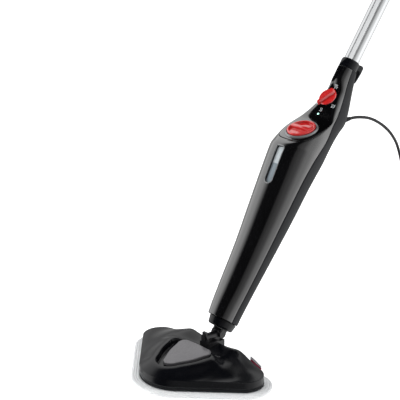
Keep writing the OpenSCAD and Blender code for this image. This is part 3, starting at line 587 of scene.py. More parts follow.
def shell(name, w_low, w_high, t0, t1, material, radius=0.9, thick=2.4, w_step=3.0, t_step=2.0):
    """Walled skin of the body between two heights (functions of t) and two angles."""
    width = abs(t1 - t0) * MM_PER_DEGREE
    t = t0 + (t1 - t0) * steps(width, t_step * MM_PER_DEGREE) / width
    low, high = w_low(t), w_high(t)
    fractions = steps(float(np.mean(high - low)), w_step)
    fractions = fractions / fractions[-1]
    w = low[None, :] + (high - low)[None, :] * fractions[:, None]
    tt = follow_seam(np.broadcast_to(t, w.shape), w)
    near = np.minimum(np.minimum(w - low, high - w), np.minimum(abs(t - t0), abs(t - t1)) * MM_PER_DEGREE)
    outer = body_points(w, tt, fillet(near, radius))
    inner = body_points(w, tt, np.full(w.shape, thick))
    ni, nj = w.shape
    count = ni * nj
    points = np.concatenate([outer.reshape(-1, 3), inner.reshape(-1, 3)])
    faces = grid_faces(ni, nj) + grid_faces(ni, nj, flip=True, start=count)
    rim = ([i * nj for i in range(ni)] + [(ni - 1) * nj + j for j in range(1, nj)]
           + [i * nj + nj - 1 for i in range(ni - 2, -1, -1)] + [j for j in range(nj - 2, 0, -1)])
    for a, b in zip(rim, rim[1:] + rim[:1]):
        faces.append((b, a, a + count, b + count))
    return make_mesh(name, on_mast(points), faces, material, sharp=60)


def cut(piece, tool):
    """Takes a closed tool out of a piece, for good."""
    modifier = piece.modifiers.new("cut", "BOOLEAN")
    modifier.operation, modifier.solver, modifier.object = "DIFFERENCE", "EXACT", tool
    bpy.context.view_layer.update()
    mesh = bpy.data.meshes.new_from_object(piece.evaluated_get(bpy.context.evaluated_depsgraph_get()))
    piece.modifiers.clear()
    piece.data = mesh
    mesh.set_sharp_from_angle(angle=math.radians(40))
    bpy.data.objects.remove(tool)


def flat(value):
    return lambda t: np.full(np.shape(t), float(value))


LEFT_T = -180 - SEAM_T
shell_front = shell("front_body_shell", flat(BODY_LOW), lambda t: panel_edge(t) - 0.5, LEFT_T, SEAM_T, GLOSS)
shell_panel = shell("upper_panel", lambda t: panel_edge(t) + 0.5, flat(BODY_HIGH), LEFT_T, SEAM_T, GLOSS,
                    w_step=2.0)
shell_back = shell("back_body_shell", flat(BODY_LOW), flat(BODY_HIGH), SEAM_T + 0.9, 190 - 0.9, MATT,
                   radius=1.4)

# Window slot: outline in (x, height), a rounded frame round it and a lens set back behind it
SLOT_W, SLOT_X = (267.5, 337.0), 9.0


def slot_outline(grow, count=18, top_r=4.0):
    """Closed outline, flat-topped with small corners and fully round at the bottom."""
    half, low, high = SLOT_X + grow, SLOT_W[0] - grow, SLOT_W[1] + grow
    r = top_r + grow
    sides = np.linspace(low + half, high - r, 14)[1:-1]
    return np.concatenate([
        arc((0, low + half), half, math.pi, 2 * math.pi, count), [(half, w) for w in sides],
        arc((half - r, high - r), r, 0, math.pi / 2, 7),
        arc((r - half, high - r), r, math.pi / 2, math.pi, 7), [(-half, w) for w in sides[::-1]]])


def slot_ring(grow, out):
    """The slot's outline laid on the body, out mm proud of it."""
    p = slot_outline(grow)
    return np.column_stack([p[:, 0], front_v(p[:, 0], p[:, 1]) - out, p[:, 1]])


tool_rings = np.array([slot_ring(0.4, 6), slot_ring(0.4, -9)])
cut(shell_front, solid("tool", on_mast(tool_rings), GLOSS, sharp=None))
placed(shell_front, "mast", "black_gloss", "front_shell")


def slot_lining(name, levels, material, sharp):
    """Ring round the slot, drawn at (growth of the outline, mm proud of the body) levels."""
    rings = on_mast(np.array([slot_ring(grow, out) for grow, out in levels]))
    placed(grid_piece(name, rings, material, closed_j=True, sharp=sharp), "mast", "black_gloss")


slot_lining("window_frame", [(0.35, -3.2), (0.35, -0.2), (0.8, 0.15), (0.5, 0.45), (-0.2, 0.4), (-0.9, 0.1),
                             (-1.3, -0.6), (-1.4, -3.2)], RIM, 70)
slot_lining("window_well", [(-1.35, -0.7), (-1.5, -4.4), (-1.5, -5.4), (0.3, -5.4), (0.3, -3.1)], DARK, 50)

WATER_LEVEL, LENS_DEPTH, LENS_THICK, LENS_GAP = 305.5, 4.3, 1.2, 1.5


def lens_sheet(name, material, w0, w1, *nodes):
    """Part of the window's lens between two heights, as wide as the slot there."""
    rows = []
    for w in np.linspace(w0, w1, 18):
        low = SLOT_W[0] + LENS_GAP
        half = SLOT_X - LENS_GAP
        if w < low + half:
            half = math.sqrt(max(half ** 2 - (low + half - w) ** 2, 0.04))
        rows.append([[x, float(front_v(np.array(x), np.array(w))) + LENS_DEPTH, w]
                     for x in np.linspace(-half, half, 9)])
    outer = np.array(rows)
    inner = outer + [0, LENS_THICK, 0]
    ring = np.concatenate([outer, inner[:, ::-1]], 1)
    placed(solid(name, on_mast(ring), material, flip=True), "mast", "window_clear", *nodes)


lens_sheet("window_lens_low", WATER_GLASS, SLOT_W[0] + 1.7, WATER_LEVEL, "tank_window")
lens_sheet("window_lens_high", DRY_GLASS, WATER_LEVEL, SLOT_W[1] - 1.6)
placed(shell_panel, "mast", "black_gloss", "control_panel")
placed(shell_back, "mast", "black_matt", "back_shell")


# ---------------------------------------------------------------- filler cap
CAP_FRAME = mast_face(CAP_V, CAP_W, CAP_TILT)
BEZEL_LINE = [(26.4, -2.4), (26.4, 1.8), (27.6, 2.7), (29.4, 2.2), (30.4, 0.4), (30.6, -2.4)]
bezel = soft_lathe("cap_bezel", BEZEL_LINE, 0.7, RIM, CAP_FRAME, 128)
placed(bezel, "mast", "pale_rim", "filler_bezel")


def moulded_cap():
    """Screw cap as a height field: raised rim, and two pockets that leave a bar to grip."""
    angle = np.linspace(0, 2 * math.pi, 180, endpoint=False)
    radius = np.concatenate([np.linspace(0.4, CAP_R - 1.0, 64),
                             CAP_R - 1 + np.sin(np.linspace(0.1, 1, 6) * math.pi / 2)])
    r, a = np.meshgrid(radius, angle, indexing="ij")
    x, y = r * np.cos(a), r * np.sin(a)
    bar = smooth_step((np.abs(y) - 3.0) / 1.5)
    disc = smooth_step((CAP_R - 2.6 - r) / 2.0)
    edge = np.clip(r - (CAP_R - 1.0), 0, 1)
    crown = 0.5 * (1 - (r / CAP_R) ** 2)
    z = 5.2 + crown + 1.1 * (1 - bar) * disc - 4.3 * bar * disc - (1 - np.sqrt(1 - edge ** 2)) * 1.0
    rings = list(np.stack([x, y, z], -1))
    for rr, zz in ((CAP_R, 2.5), (CAP_R, 1.2), (CAP_R - 0.3, 1.0), (4.2, 1.0)):
        rings.append(np.stack([rr * np.cos(angle), rr * np.sin(angle), np.full(len(angle), zz)], -1))
    return grid_piece("filler_cap", np.array(rings) * MM, RED, closed_j=True, caps=("first",), sharp=65,
                      matrix=CAP_FRAME)


cap = moulded_cap()
cap_mark = lathe("cap_mark", [(0, 0), (0.55, 0), (0.55, 0.2), (0, 0.25)], DARK,
                 CAP_FRAME @ Matrix.Translation((0.0185, -0.0022, 0.0052)), 16)
placed(cap, "cap", "red_gloss", "tank_cap")
placed(cap_mark, "cap", "red_gloss")

# ---------------------------------------------------------------- steam knob
KNOB_W, KNOB_TILT, KNOB_REST = 457.5, 12.0, 247.0
KNOB_FRAME = mast_face(float(facet(np.array(KNOB_W))) - 0.75, KNOB_W, KNOB_TILT)
KNOB_TURNED = KNOB_FRAME @ frame_at((0, 0, 0), KNOB_REST, "Z")


def knob_pointer():
    """Tapering grip bar whose narrow end stands past the skirt."""
    side = [(x, 4.9 - (x + 12.2) * 0.078) for x in np.linspace(16, -9, 10)]
    tip = arc((0, 0), 1, -math.pi / 2.4, math.pi / 2.4, 9) * [1.6, 2.3] + [19.0, 0]
    outline = np.concatenate([arc((-12.2, 0), 4.9, math.pi / 2, 1.5 * math.pi, 16),
                              [(x, -y) for x, y in side[::-1]], tip, side])
    levels = [(-0.6, 3.0), (-0.5, 4.0), (0.0, 8.6), (0.5, 10.0), (1.2, 10.8), (2.0, 11.0)]
    return stacked("knob_pointer", outline, levels, RED, KNOB_TURNED, sharp=60)


SKIRT_LINE = [(0, 1.6), (16.9, 1.6), (17.0, 3.0), (15.9, 4.4), (14.2, 4.6), (12.6, 4.0), (0, 4.2)]
skirt = soft_lathe("knob_skirt", SKIRT_LINE, 0.7, RED, KNOB_TURNED, 128)
knob = join("steam_dial", [skirt, knob_pointer()])
placed(knob, "knob", "red_gloss", "steam_knob")
knob.visible_glossy = False


MARK_LIFT = 0.12


def surface_decal(name, strokes, centre, width):
    """Thin printed lines on the panel: each stroke is a line of (x, height) points in mm."""
    pieces = []
    for stroke in strokes:
        p = np.array(stroke, float) + centre
        d = np.gradient(p, axis=0)
        d /= np.linalg.norm(d, axis=1)[:, None]
        side = np.stack([-d[:, 1], d[:, 0]], 1) * width / 2
        rows = [np.column_stack([q[:, 0], front_v(q[:, 0], q[:, 1]) - MARK_LIFT, q[:, 1]])
                for q in (p - side, p + side)]
        pieces.append(grid_piece("stroke", on_mast(np.array(rows)), INK, flip=True))
    placed(join(name, pieces), "mast", "black_gloss")


def wave_stroke(x, height):
    return [(x + 0.7 * math.sin(u * 6.3), -height / 2 + height * u) for u in np.linspace(0, 1, 9)]


steam_mark = [wave_stroke(x, 5.2) for x in (-2.6, 0, 2.6)] + [[(-3.4, -3.8), (3.4, -3.8)]]
surface_decal("setting_mark_off", [arc((0, 0), 2.3, 0, 2 * math.pi, 20), [(0, 0.8), (0, 3.4)]],
              (-19.5, 444.0), 0.7)
surface_decal("setting_mark_low", [wave_stroke(-1.5, 5.0), wave_stroke(1.5, 5.0), [(-3, -3.6), (3, -3.6)]],
              (-2.5, 434.0), 0.8)
surface_decal("setting_mark_mid", steam_mark, (17.0, 446.5), 0.8)
surface_decal("setting_mark_high", steam_mark, (3.5, 482.5), 0.8)
LED_X, LED_W, LED_TILT = -3.5, 424.0, 14
led_frame = (mast_face(float(front_v(np.array(LED_X), np.array(LED_W))) + 0.2, LED_W, LED_TILT)
             @ Matrix.Translation((LED_X * MM, 0, 0)))
led = lathe("status_light", [(0, 1.1), (0.9, 1.0), (1.7, 0.6), (2.2, 0.0), (2.2, -3)], LED, led_frame, 32)
placed(led, "mast", "lens_green", "status_lens")

# ---------------------------------------------------------------- neck, collars and tube
NECK_V, COLLAR_TOP, BUTTON_X, BUTTON_W = -3.5, 520.4, -10.5, 562
TUBE_BORE, TUBE_R, TUBE_LOW, TUBE_HIGH = 12.5, 14.0, 516.0, 985.0
COLLAR_LINE = [(17.4, 12.4), (17.2, 8.7), (20.8, 8.6), (22.6, 10.4), (24.9, 22.4), (23.4, 22.8), (20.0, 13)]
collar_frame = MAST @ Matrix.Translation((0, NECK_V * MM, 0))
low_collar = soft_lathe("neck_collar", COLLAR_LINE, 1.0, HEAD_GLOSS, collar_frame, 128)
placed(low_collar, "mast", "black_gloss", "lower_collar")
SOCKET_LINE = [(14.3, COLLAR_TOP), (16.8, COLLAR_TOP), (16.9, 534.4), (16.1, 537.2), (14.4, 537.9),
               (14.1, 530)]
top_collar = soft_lathe("tube_socket", SOCKET_LINE, 0.8, HEAD_GLOSS, MAST, 128)
placed(top_collar, "mast", "black_matt", "tube_collar")
GROOVE_LINE = [(15.4, 519.2), (16.2, 519.6), (16.2, 520.9), (15.4, 521.2)]
placed(lathe("socket_groove", GROOVE_LINE, RUBBER, MAST, 96), "mast", "black_matt")
outside = [(TUBE_R, w) for w in np.linspace(TUBE_LOW, TUBE_HIGH, 60)]
tube_line = [(TUBE_BORE, TUBE_LOW), *outside, (TUBE_BORE, TUBE_HIGH)]
tube = lathe("handle_tube", tube_line + tube_line[:1], ALUMINIUM, MAST, 160)
placed(tube, "mast", "aluminium", "upper_tube")
button_frame = MAST @ frame_at((BUTTON_X * MM, 0, BUTTON_W * MM), -90, "Y")
BUTTON_LINE = [(0, 0), (3.7, 0), (3.7, 4.4), (3.4, 5.2), (2.6, 5.7), (0, 5.8)]
button = lathe("lock_pin", BUTTON_LINE, STEEL, button_frame, 48)
placed(button, "button", "steel", "lock_button")


def hook_plate(name, corners, radius, half=7.0, edge=0.9):
    """Plate cut from a (back, up) outline in mm, with rounded corners and edges."""
    outline = rounded_profile([corners[-1], *corners, corners[0]], radius)[1:-1]
    side_on = MAST @ Matrix(((0, 0, 1, 0), (1, 0, 0, 0), (0, 1, 0, 0), (0, 0, 0, 1)))
    levels = [(edge, -half), (edge * 0.3, -half + edge * 0.3), (0, -half + edge), (0, half - edge),
              (edge * 0.3, half - edge * 0.3), (edge, half)]
    return stacked(name, outline, levels, MATT, side_on, sharp=40)


HOOK_LINE = [(13, 529.5), (13, 538), (20, 540), (26, 541.6), (30, 541), (31.8, 538), (31.8, 527), (30.6, 517),
             (28.9, 508), (27.4, 506.6), (25.9, 508), (27.3, 517), (27.9, 525), (26.6, 529.5), (22, 530)]
placed(hook_plate("body_lead_hook", HOOK_LINE, 1.6), "mast", "black_matt", "lower_cord_hook")

# ---------------------------------------------------------------- grip
GRIP_W, GRIP_LEN, GRIP_RISE = 945.0, 185.0, 26.0
GRIP_HALF_X, GRIP_HALF_Y, GRIP_TAPER = 16.4, 17, 1.5


def grip_points(u, t, depth):
    """Points under the grip's outside: u runs 0..1 up it, t is an angle in degrees."""
    half_x = GRIP_HALF_X + 2.2 * np.sin(np.pi * u)
    half_y = GRIP_HALF_Y + 3.4 * np.sin(np.pi * u) + GRIP_TAPER * u
    a = np.radians(t)
    under = smooth_step((np.sin(a) + 0.2) / 0.6)
    dip = 0.7 * np.maximum(0, np.cos(6 * np.pi * u)) * under * smooth_step((u - 0.1) / 0.1)
    back = -GRIP_RISE * u * u * 0.8 + (half_y - depth - dip) * np.sin(a)
    return np.stack([(half_x - depth) * np.cos(a), back, GRIP_W + GRIP_LEN * u + 0 * a], -1)


def grip_body(thick=2.2):
    """Walled sleeve with finger dips under it and rounded ends."""
    us = np.array([0, 0.001, 0.003, 0.007, *np.linspace(0.012, 0.988, 70), 0.993, 0.997, 0.999, 1])
    uu, tt = np.meshgrid(us, np.linspace(0, 360, 96, endpoint=False), indexing="ij")
    outer = grip_points(uu, tt, fillet(np.minimum(uu - us[0], us[-1] - uu) * GRIP_LEN, 1.2))
    inner = grip_points(uu, tt, 0 * uu + thick)
    skin = on_mast(np.concatenate([outer, inner[::-1]]))
    return grid_piece("grip_body", skin, MATT, closed_i=True, closed_j=True, flip=True, sharp=60)


placed(grip_body(), "mast", "black_matt", "grip_shell")


def grip_pad():
    """Soft insert on the grip's front, with raised ribs across it."""
    us, t = np.linspace(3 / 14, 12 / 14, 140), np.linspace(-150, -30, 60)
    uu, tt = np.meshgrid(us, t, indexing="ij")
    from_ends = np.minimum(uu - us[0], us[-1] - uu) * GRIP_LEN
    edge = np.minimum(from_ends, np.minimum(tt - t[0], t[-1] - tt) * 0.3)
    ribs = 0.35 * np.maximum(0, np.sin(uu * GRIP_LEN * 2 * np.pi / 6)) * smooth_step((edge - 3) / 2)
    skin = on_mast(grip_points(uu, tt, fillet(edge, 1.2) - 1.1 - ribs))
    return grid_piece("grip_inlay", skin, RUBBER, sharp=70)


placed(grip_pad(), "mast", "rubber", "grip_insert")


def grip_end():
    """Domed end, drawn at (scale, rise) levels."""
    t = np.linspace(0, 2 * math.pi, 96, endpoint=False)
    back, top = -GRIP_RISE * 0.8, GRIP_W + GRIP_LEN
    rings = []
    for scale, rise in ((0.8, -4), (0.86, 0), (0.985, 0), (1, 0.8), (1, 3.4), (0.985, 5), (0.94, 6.8),
                        (0.86, 8.2), (0.74, 9.2), (0.58, 9.8), (0.3, 10)):
        rings.append(np.stack([GRIP_HALF_X * scale * np.cos(t),
                               back + (GRIP_HALF_Y + GRIP_TAPER) * scale * np.sin(t),
                               np.full(len(t), top + rise)], -1))
    return solid("grip_end", on_mast(np.array(rings)), MATT, flip=True)


placed(grip_end(), "mast", "black_matt", "grip_cap")

# ---------------------------------------------------------------- upper lead hook
HOOK_W = 915.0
BAND_LINE = [(14.05, -10), (16.4, -10), (17, -8.6), (17, 8.6), (16.4, 10), (14.05, 10)]
clamp_band = soft_lathe("hook_band", [(radius, HOOK_W + w) for radius, w in BAND_LINE], 0.8, MATT, MAST, 96)
boss_frame = MAST @ frame_at((0, 0, HOOK_W * MM), -90)
BOSS_LINE = [(3.2, 14), (8, 14), (8, 19), (7.2, 20), (3.2, 20)]
boss = soft_lathe("hook_boss", BOSS_LINE, 0.7, MATT, boss_frame, 64)
placed(join("hook_mount", [clamp_band, boss]), "mast", "black_matt", "hook_clamp")
STEM_LINE = [(0, 15), (3, 15), (3, 20.4), (9, 20.4), (9, 22.5), (6.6, 26), (6.6, 36), (7.6, 40), (7.6, 44.2),
             (0, 44.4)]
hook_stem = soft_lathe("hook_stem", STEM_LINE, 1.2, MATT, boss_frame, 64)
ARM_LINE = [(38.6, -8), (44.4, -8), (44.4, 28), (42.4, 34), (39.4, 34), (38.8, 26)]
hook_arm = hook_plate("hook_arm", [(v, HOOK_W + w) for v, w in ARM_LINE], 1.8)
placed(join("turning_hook", [hook_stem, hook_arm]), "cord_hook", "black_matt", "upper_cord_hook")

# ---------------------------------------------------------------- head outline
TIP_R, TIP_Y, CORNER_R, CORNER_X, CORNER_Y = 82.0, 94.0, 48.5, 105.0, 40.0
corner_gap = math.hypot(CORNER_X, TIP_Y - CORNER_Y)
TANGENT = math.atan2(TIP_Y - CORNER_Y, CORNER_X) - math.acos((TIP_R - CORNER_R) / corner_gap)


def outline(inset, per_mm=0.45):
    """The pad's outline moved inwards: three arcs and the straight sides between them."""
    parts = []
    for centre, r, a0, a1 in (((CORNER_X, -CORNER_Y), CORNER_R, TANGENT, math.pi / 2),
                              ((-CORNER_X, -CORNER_Y), CORNER_R, math.pi / 2, math.pi - TANGENT),
                              ((0, -TIP_Y), TIP_R, math.pi - TANGENT, 2 * math.pi + TANGENT)):
        parts.append(arc(centre, r - inset, a0, a1, max(8, int(abs(a1 - a0) * r * per_mm))))
    full = []
    for i, part in enumerate(parts):
        full.append(part)
        start, end = part[-1], parts[(i + 1) % 3][0]
        base = 2 * CORNER_X if i == 0 else 120.0
        u = np.linspace(0, 1, int(base * per_mm))[1:-1, None]
        full.append(start + (end - start) * u)
    return np.concatenate(full)


def radial(points, centre, angles):
    """Distance from a centre to a closed outline at each angle."""
    d = points - centre
    a, r = np.arctan2(d[:, 1], d[:, 0]), np.hypot(d[:, 0], d[:, 1])
    order = np.argsort(a)
    a, r = a[order], r[order]
    a = np.concatenate([a - 2 * math.pi, a, a + 2 * math.pi])
    return np.interp(angles, a, np.tile(r, 3))


def distance_to(points, polygon):
    """Signed distance of points to a closed polygon, negative inside."""
    a, b = polygon, np.roll(polygon, -1, 0)
    e = b - a
    best = np.full(len(points), 1e9)
    inside = np.zeros(len(points), bool)
    for p, d, q in zip(a, e, b):
        w = points - p
        h = np.clip((w @ d) / (d @ d), 0, 1)
        best = np.minimum(best, np.hypot(*(w - h[:, None] * d).T))
        crosses = (p[1] > points[:, 1]) != (q[1] > points[:, 1])
        with np.errstate(divide="ignore", invalid="ignore"):
            x = p[0] + (points[:, 1] - p[1]) * d[0] / d[1]
        inside ^= crosses & (points[:, 0] < x)
    return np.where(inside, -best, best)


# ---------------------------------------------------------------- badge plate
BADGE_REAR, BADGE_TIP_Y, BADGE_Z, BADGE_TILT = (37.0, -46.0), -124.0, 45.0, 5.9
BADGE_CENTRE = np.array([0.0, -76.0])


def badge_outline(rear_r=12.0, tip_r=14.0, count=18):
    """Three arcs and the slightly bulging sides between them."""
    rear = np.array([BADGE_REAR[0] - rear_r, BADGE_REAR[1] - rear_r])
    tip = np.array([0, BADGE_TIP_Y + tip_r])
    d = rear - tip
    a = math.atan2(d[1], d[0]) - math.acos((tip_r - rear_r) / np.hypot(*d))
    out = [arc(rear, rear_r, a, math.pi / 2, count),
           arc(rear * [-1, 1], rear_r, math.pi / 2, math.pi - a, count),
           arc(tip, tip_r, math.pi - a, 2 * math.pi + a, count)]
    full = []
    for i, part in enumerate(out):
        full += list(part)
        u = np.linspace(0, 1, 24)[1:-1, None]
        side = out[(i + 1) % 3][0] - part[-1]
        bulge = np.array([side[1], -side[0]]) / np.hypot(*side) * (2.6 if i else 1.0)
        full += list(part[-1] + side * u + bulge * 16 * u ** 2 * (1 - u) ** 2)
    return np.array(full)


badge_plan = badge_outline()


def badge_z(y):
    """Height of the plate's tilted plane."""
    return BADGE_Z + (y - BADGE_REAR[1]) * math.tan(math.radians(BADGE_TILT))


def badge_plate():
    """Plate with a soft edge and a very low crown, tilted down to the front."""
    away = badge_plan - BADGE_CENTRE
    reach = np.hypot(*away.T)
    rings = []
    for s in (*np.linspace(0.02, 0.94, 22), 0.955, 0.97, 0.982, 0.991, 0.997, 1.0):
        p = BADGE_CENTRE + away * s
        top = badge_z(p[:, 1]) - fillet(reach * (1 - s), 1.6) + 1.2 * (1 - s ** 2)
        rings.append(np.column_stack([p, top]))
    rings.append(np.column_stack([badge_plan, badge_z(badge_plan[:, 1]) - 5.0]))
    return grid_piece("badge_cover", np.array(rings) * MM, GREY, closed_j=True, caps=("first",), sharp=60)


placed(badge_plate(), "head", "badge_grey", "badge_plate")

# ---------------------------------------------------------------- head cover
CREASE_Z, REAR_RISE, CENTRE_Y, PAD_OVERHANG, FOOT_Z = 26.0, 18.0, -84.0, 14.5, 12.3


def edge_z(x, y):
    return CREASE_Z + REAR_RISE * smooth_step((112 - np.abs(x)) / 60) * smooth_step((y + 62) / 50)


def crown_z(x, y):
    return 46 - 13 * smooth_step((-y - 20) / 110) - 16 * smooth_step((np.abs(x) - 75) / 60)


def saddle(x, y):
    return 5 * smooth_step((68 - np.abs(x)) / 46) * smooth_step((y + 60) / 30)


def head_cover():
    """Dome between the badge and the edge, with a moat round the badge's front sides."""
    angles = np.linspace(-math.pi, math.pi, 420, endpoint=False)
    away = np.stack([np.cos(angles), np.sin(angles)], 1)
    plate = radial(badge_plan, BADGE_CENTRE, angles)
    edge_line = outline(PAD_OVERHANG + 1.4)
    edge = radial(edge_line, BADGE_CENTRE, angles)
    hub = radial(edge_line, np.array([0, CENTRE_Y]), angles)
    reach = [plate + gap for gap in np.arange(-3, 22, 0.8)]
    reach += [reach[-1] + (edge - reach[-1]) * u for u in np.linspace(0, 1, 58)[1:]]
    points = BADGE_CENTRE + away * np.array(reach)[:, :, None]
    flat_points = points.reshape(-1, 2)
    x, y = flat_points.T
    rel = flat_points - [0, CENTRE_Y]
    bearing = np.arctan2(rel[:, 1], rel[:, 0])
    s = np.clip(np.hypot(*rel.T) / np.interp(bearing, angles, hub, period=2 * math.pi), 0, 1)
    e = edge_z(x, y)
    z = e + (crown_z(x, y) - e) * (1 - s ** 2.4) ** 0.95 - saddle(x, y)
    gap = distance_to(flat_points, badge_plan)
    front = smooth_step((-44 - y) / 16)
    width = 4.5 + 8.5 * smooth_step((-50 - y) / 20)
    plate_z = badge_z(y)
    ridge = plate_z + 2.6 - 0.060 * np.maximum(gap - width - 2, 0) ** 1.45
    blend = smooth_step((52 - gap) / 34) * front
    z = z * (1 - blend) + np.maximum(z, ridge) * blend
    inner = smooth_step((gap - width + 3.0) / 3.6)
    moat = plate_z - 7.0
    z = z * (1 - front * (1 - inner)) + np.minimum(z, moat) * front * (1 - inner)
    behind = (1 - front) * smooth_step((3.0 - gap) / 4)
    z = z * (1 - behind) + np.minimum(z, plate_z - 0.8) * behind
    top = np.column_stack([x, y, z]).reshape(len(points), len(angles), 3)
    edge_out = top[-1]
    outward = rel.reshape(len(points), len(angles), 2)[-1]
    outward = outward / np.linalg.norm(outward, axis=1)[:, None]
    skirt = []
    for out, share in ((0.7, 0.015), (1.0, 0.05), (0.9, 0.09), (0.2, 0.11), (0.25, 0.2), (0.7, 0.5),
                       (1.1, 0.8), (1.2, 0.97), (0.9, 1.0), (-1.2, 1.0), (-1.4, 0.8)):
        level = edge_out[:, 2] + (FOOT_Z - edge_out[:, 2]) * share
        skirt.append(np.column_stack([edge_out[:, :2] + outward * out, level]))
    skin = np.concatenate([top, np.array(skirt)]) * MM
    return grid_piece("head_cover_shell", skin, HEAD_GLOSS, closed_j=True, sharp=55)


placed(head_cover(), "head", "black_gloss", "head_cover")

# ---------------------------------------------------------------- pad and label
PAD_T = 7.0


def microfibre_pad():
    """Flat pad of looped pile: soft round edge and ridges that follow its outline."""
    levels = [(inset, PAD_T) for inset in np.arange(60, 3.0, -0.7)]
    levels += [(2.6, 6.95), (1.9, 6.8), (1.3, 6.5), (0.8, 6.0), (0.4, 5.3), (0.15, 4.4), (0, 3.4),
               (0.15, 2.3), (0.5, 1.3), (1.1, 0.5), (2, 0.05), (4, 0), (30, 0)]
    base = outline(0, 0.9)
    rings = []
    normal = side_normals(base)
    run = np.cumsum(np.linalg.norm(base - np.roll(base, 1, 0), axis=1))
    waves = [(rng.uniform(0.05, 0.9), rng.uniform(0, 6.28), rng.uniform(0.4, 1)) for _ in range(14)]
    for inset, height in levels:
        wander = sum(a * np.sin(k * run + p + inset * 0.35) for k, p, a in waves) / 14
        ridge = 0.32 * np.cos(2 * math.pi * (inset + 0.5 * wander) / 4.2) * min(1, inset / 3) * (height > 5)
        fluff = rng.normal(0, 0.10, len(base)) * (height > 0.4)
        push = inset + 0.6 * wander * (height < 6.9) * (height > 0.1) + fluff
        z = np.clip(height + ridge - 0.32 * (height > 5) + 0.5 * fluff * (height > 5), 0, PAD_T + 0.2)
        rings.append(np.column_stack([base - normal * push[:, None], z]))
    return solid("microfibre_pad", np.array(rings) * MM, PAD, sharp=80)


pad = placed(microfibre_pad(), "head", "pad_fabric", "mop_pad")


def pad_label():
    """Woven loop label sewn to the pad's rear edge, red with a white hem, leaning a little."""
    pieces = []
    for name, material, v0, v1 in (("red", WOVEN_RED, 0.0, 0.80), ("hem", WOVEN_WHITE, 0.80, 1.0)):
        u, v = np.meshgrid(np.linspace(0, 1, 20), np.linspace(v0, v1, 8), indexing="ij")
        x = 74 + 27 * u
        top = 33 - 9.5 * u
        z = PAD_T + (top - PAD_T) * v
        y = 5.0 + 0.5 * np.sin(u * 5.0) * v + 0.5 * v * v
        sheet = np.stack([x, y, z], -1)
        rings = np.concatenate([sheet, (sheet + [0, 0.7, 0])[:, ::-1]], 1)
        pieces.append(solid(name, rings * MM, material))
    return join("pad_label_loop", pieces)


label = placed(pad_label(), "head", "label_fabric", "pad_label")

# ---------------------------------------------------------------- CAD nodes that stay, with their own finish
FINISH = [
    (MATT, "head_base"), (TANK, "water_tank"), (BOARD, "control_board"), (SILICONE, "water_hoses"),
    (DARK, "hook_strips", "steam_manifold", "pivot_cradle", "roll_pin", "knuckle", "pitch_pins", "neck_fork",
     "filler_neck", "tank_lid", "rotary_switch", "pump", "tube_spigot", "knob_seat", "cap_plug"),
    (BRASS, "steam_nozzles", "check_valve", "thermostat"),
    (STEEL, "head_screws", "boiler", "steam_pipe", "body_screws", "knob_shaft"),
    (RUBBER, "pump_mounts", "wire_loom", "cap_seal")]
BEVELLED = {"pivot_cradle": 0.0009, "knuckle": 0.0007, "neck_fork": 0.0007, "head_base": 0.0006}
for material, *names in FINISH:
    for name in names:
        NODES[name].data.materials.clear()
        NODES[name].data.materials.append(material)
for name, width in BEVELLED.items():
    bevel = NODES[name].modifiers.new("soft edges", "BEVEL")
    bevel.width, bevel.segments = width, 3
    bevel.limit_method, bevel.angle_limit = "ANGLE", math.radians(50)

# ---------------------------------------------------------------- floor, lights and world
def stage_quad(name, corners, material):
    """Four-cornered sheet with one material, linked into the scene."""
    mesh = bpy.data.meshes.new(name)
    mesh.from_pydata(corners, [], [(0, 1, 2, 3)])
    mesh.materials.append(material)
    sheet = link(bpy.data.objects.new(name, mesh))
    return sheet


FLOOR_HALF, FLOOR_Z = 6, -0.0005
pale_floor = glowing(moulded("pale_floor", (0.80, 0.80, 0.80), 0.9, 0.02, 300, 0.02), (1, 1, 1), 0.85)
floor_corners = [(FLOOR_HALF * x, FLOOR_HALF * y, FLOOR_Z) for x, y in ((-1, -1), (1, -1), (1, 1), (-1, 1))]
floor = stage_quad("floor", floor_corners, pale_floor)
floor.visible_glossy = False


def soft_box(name, place, target, size, power):
    """Area light, unseen in reflections."""
    data = bpy.data.lights.new(name, "AREA")
    data.shape = "RECTANGLE"
    data.size, data.size_y = size
    data.energy = power
    light = link(bpy.data.objects.new(name, data))
    light.location = place
    light.rotation_euler = (Vector(target) - Vector(place)).to_track_quat("-Z", "Y").to_euler()
    light.visible_glossy = False
    return light


def black_card(name, edge_point, ray, edge_way, width, length, distance=0.10):
    """Black card that only reflections see, over one side of a line on the object, along a reflected ray."""
    ray, run = Vector(ray).normalized(), Vector(edge_way).normalized()
    run = (run - ray * run.dot(ray)).normalized()
    across = run.cross(ray).normalized()
    across = across if across.x > 0 else -across
    base = Vector(edge_point) + ray * distance
    low, high = base - run * length / 2, base + run * length / 2
    corners = [low, low + across * width, high + across * width, high]
    black = moulded("card_black", (0.001, 0.001, 0.001), 0.9, specular=0.0)
    card = stage_quad(name, corners, black)
    card.visible_camera = card.visible_diffuse = card.visible_shadow = False
    card.visible_transmission = card.visible_volume_scatter = False


# Darkens the right half of the panel
black_card("panel_card", (0.004, 0.2275, 0.3892), (-0.689, 0.345, 0.636), (-0.12, 0.94, 0.30),
           width=0.07, length=0.11)

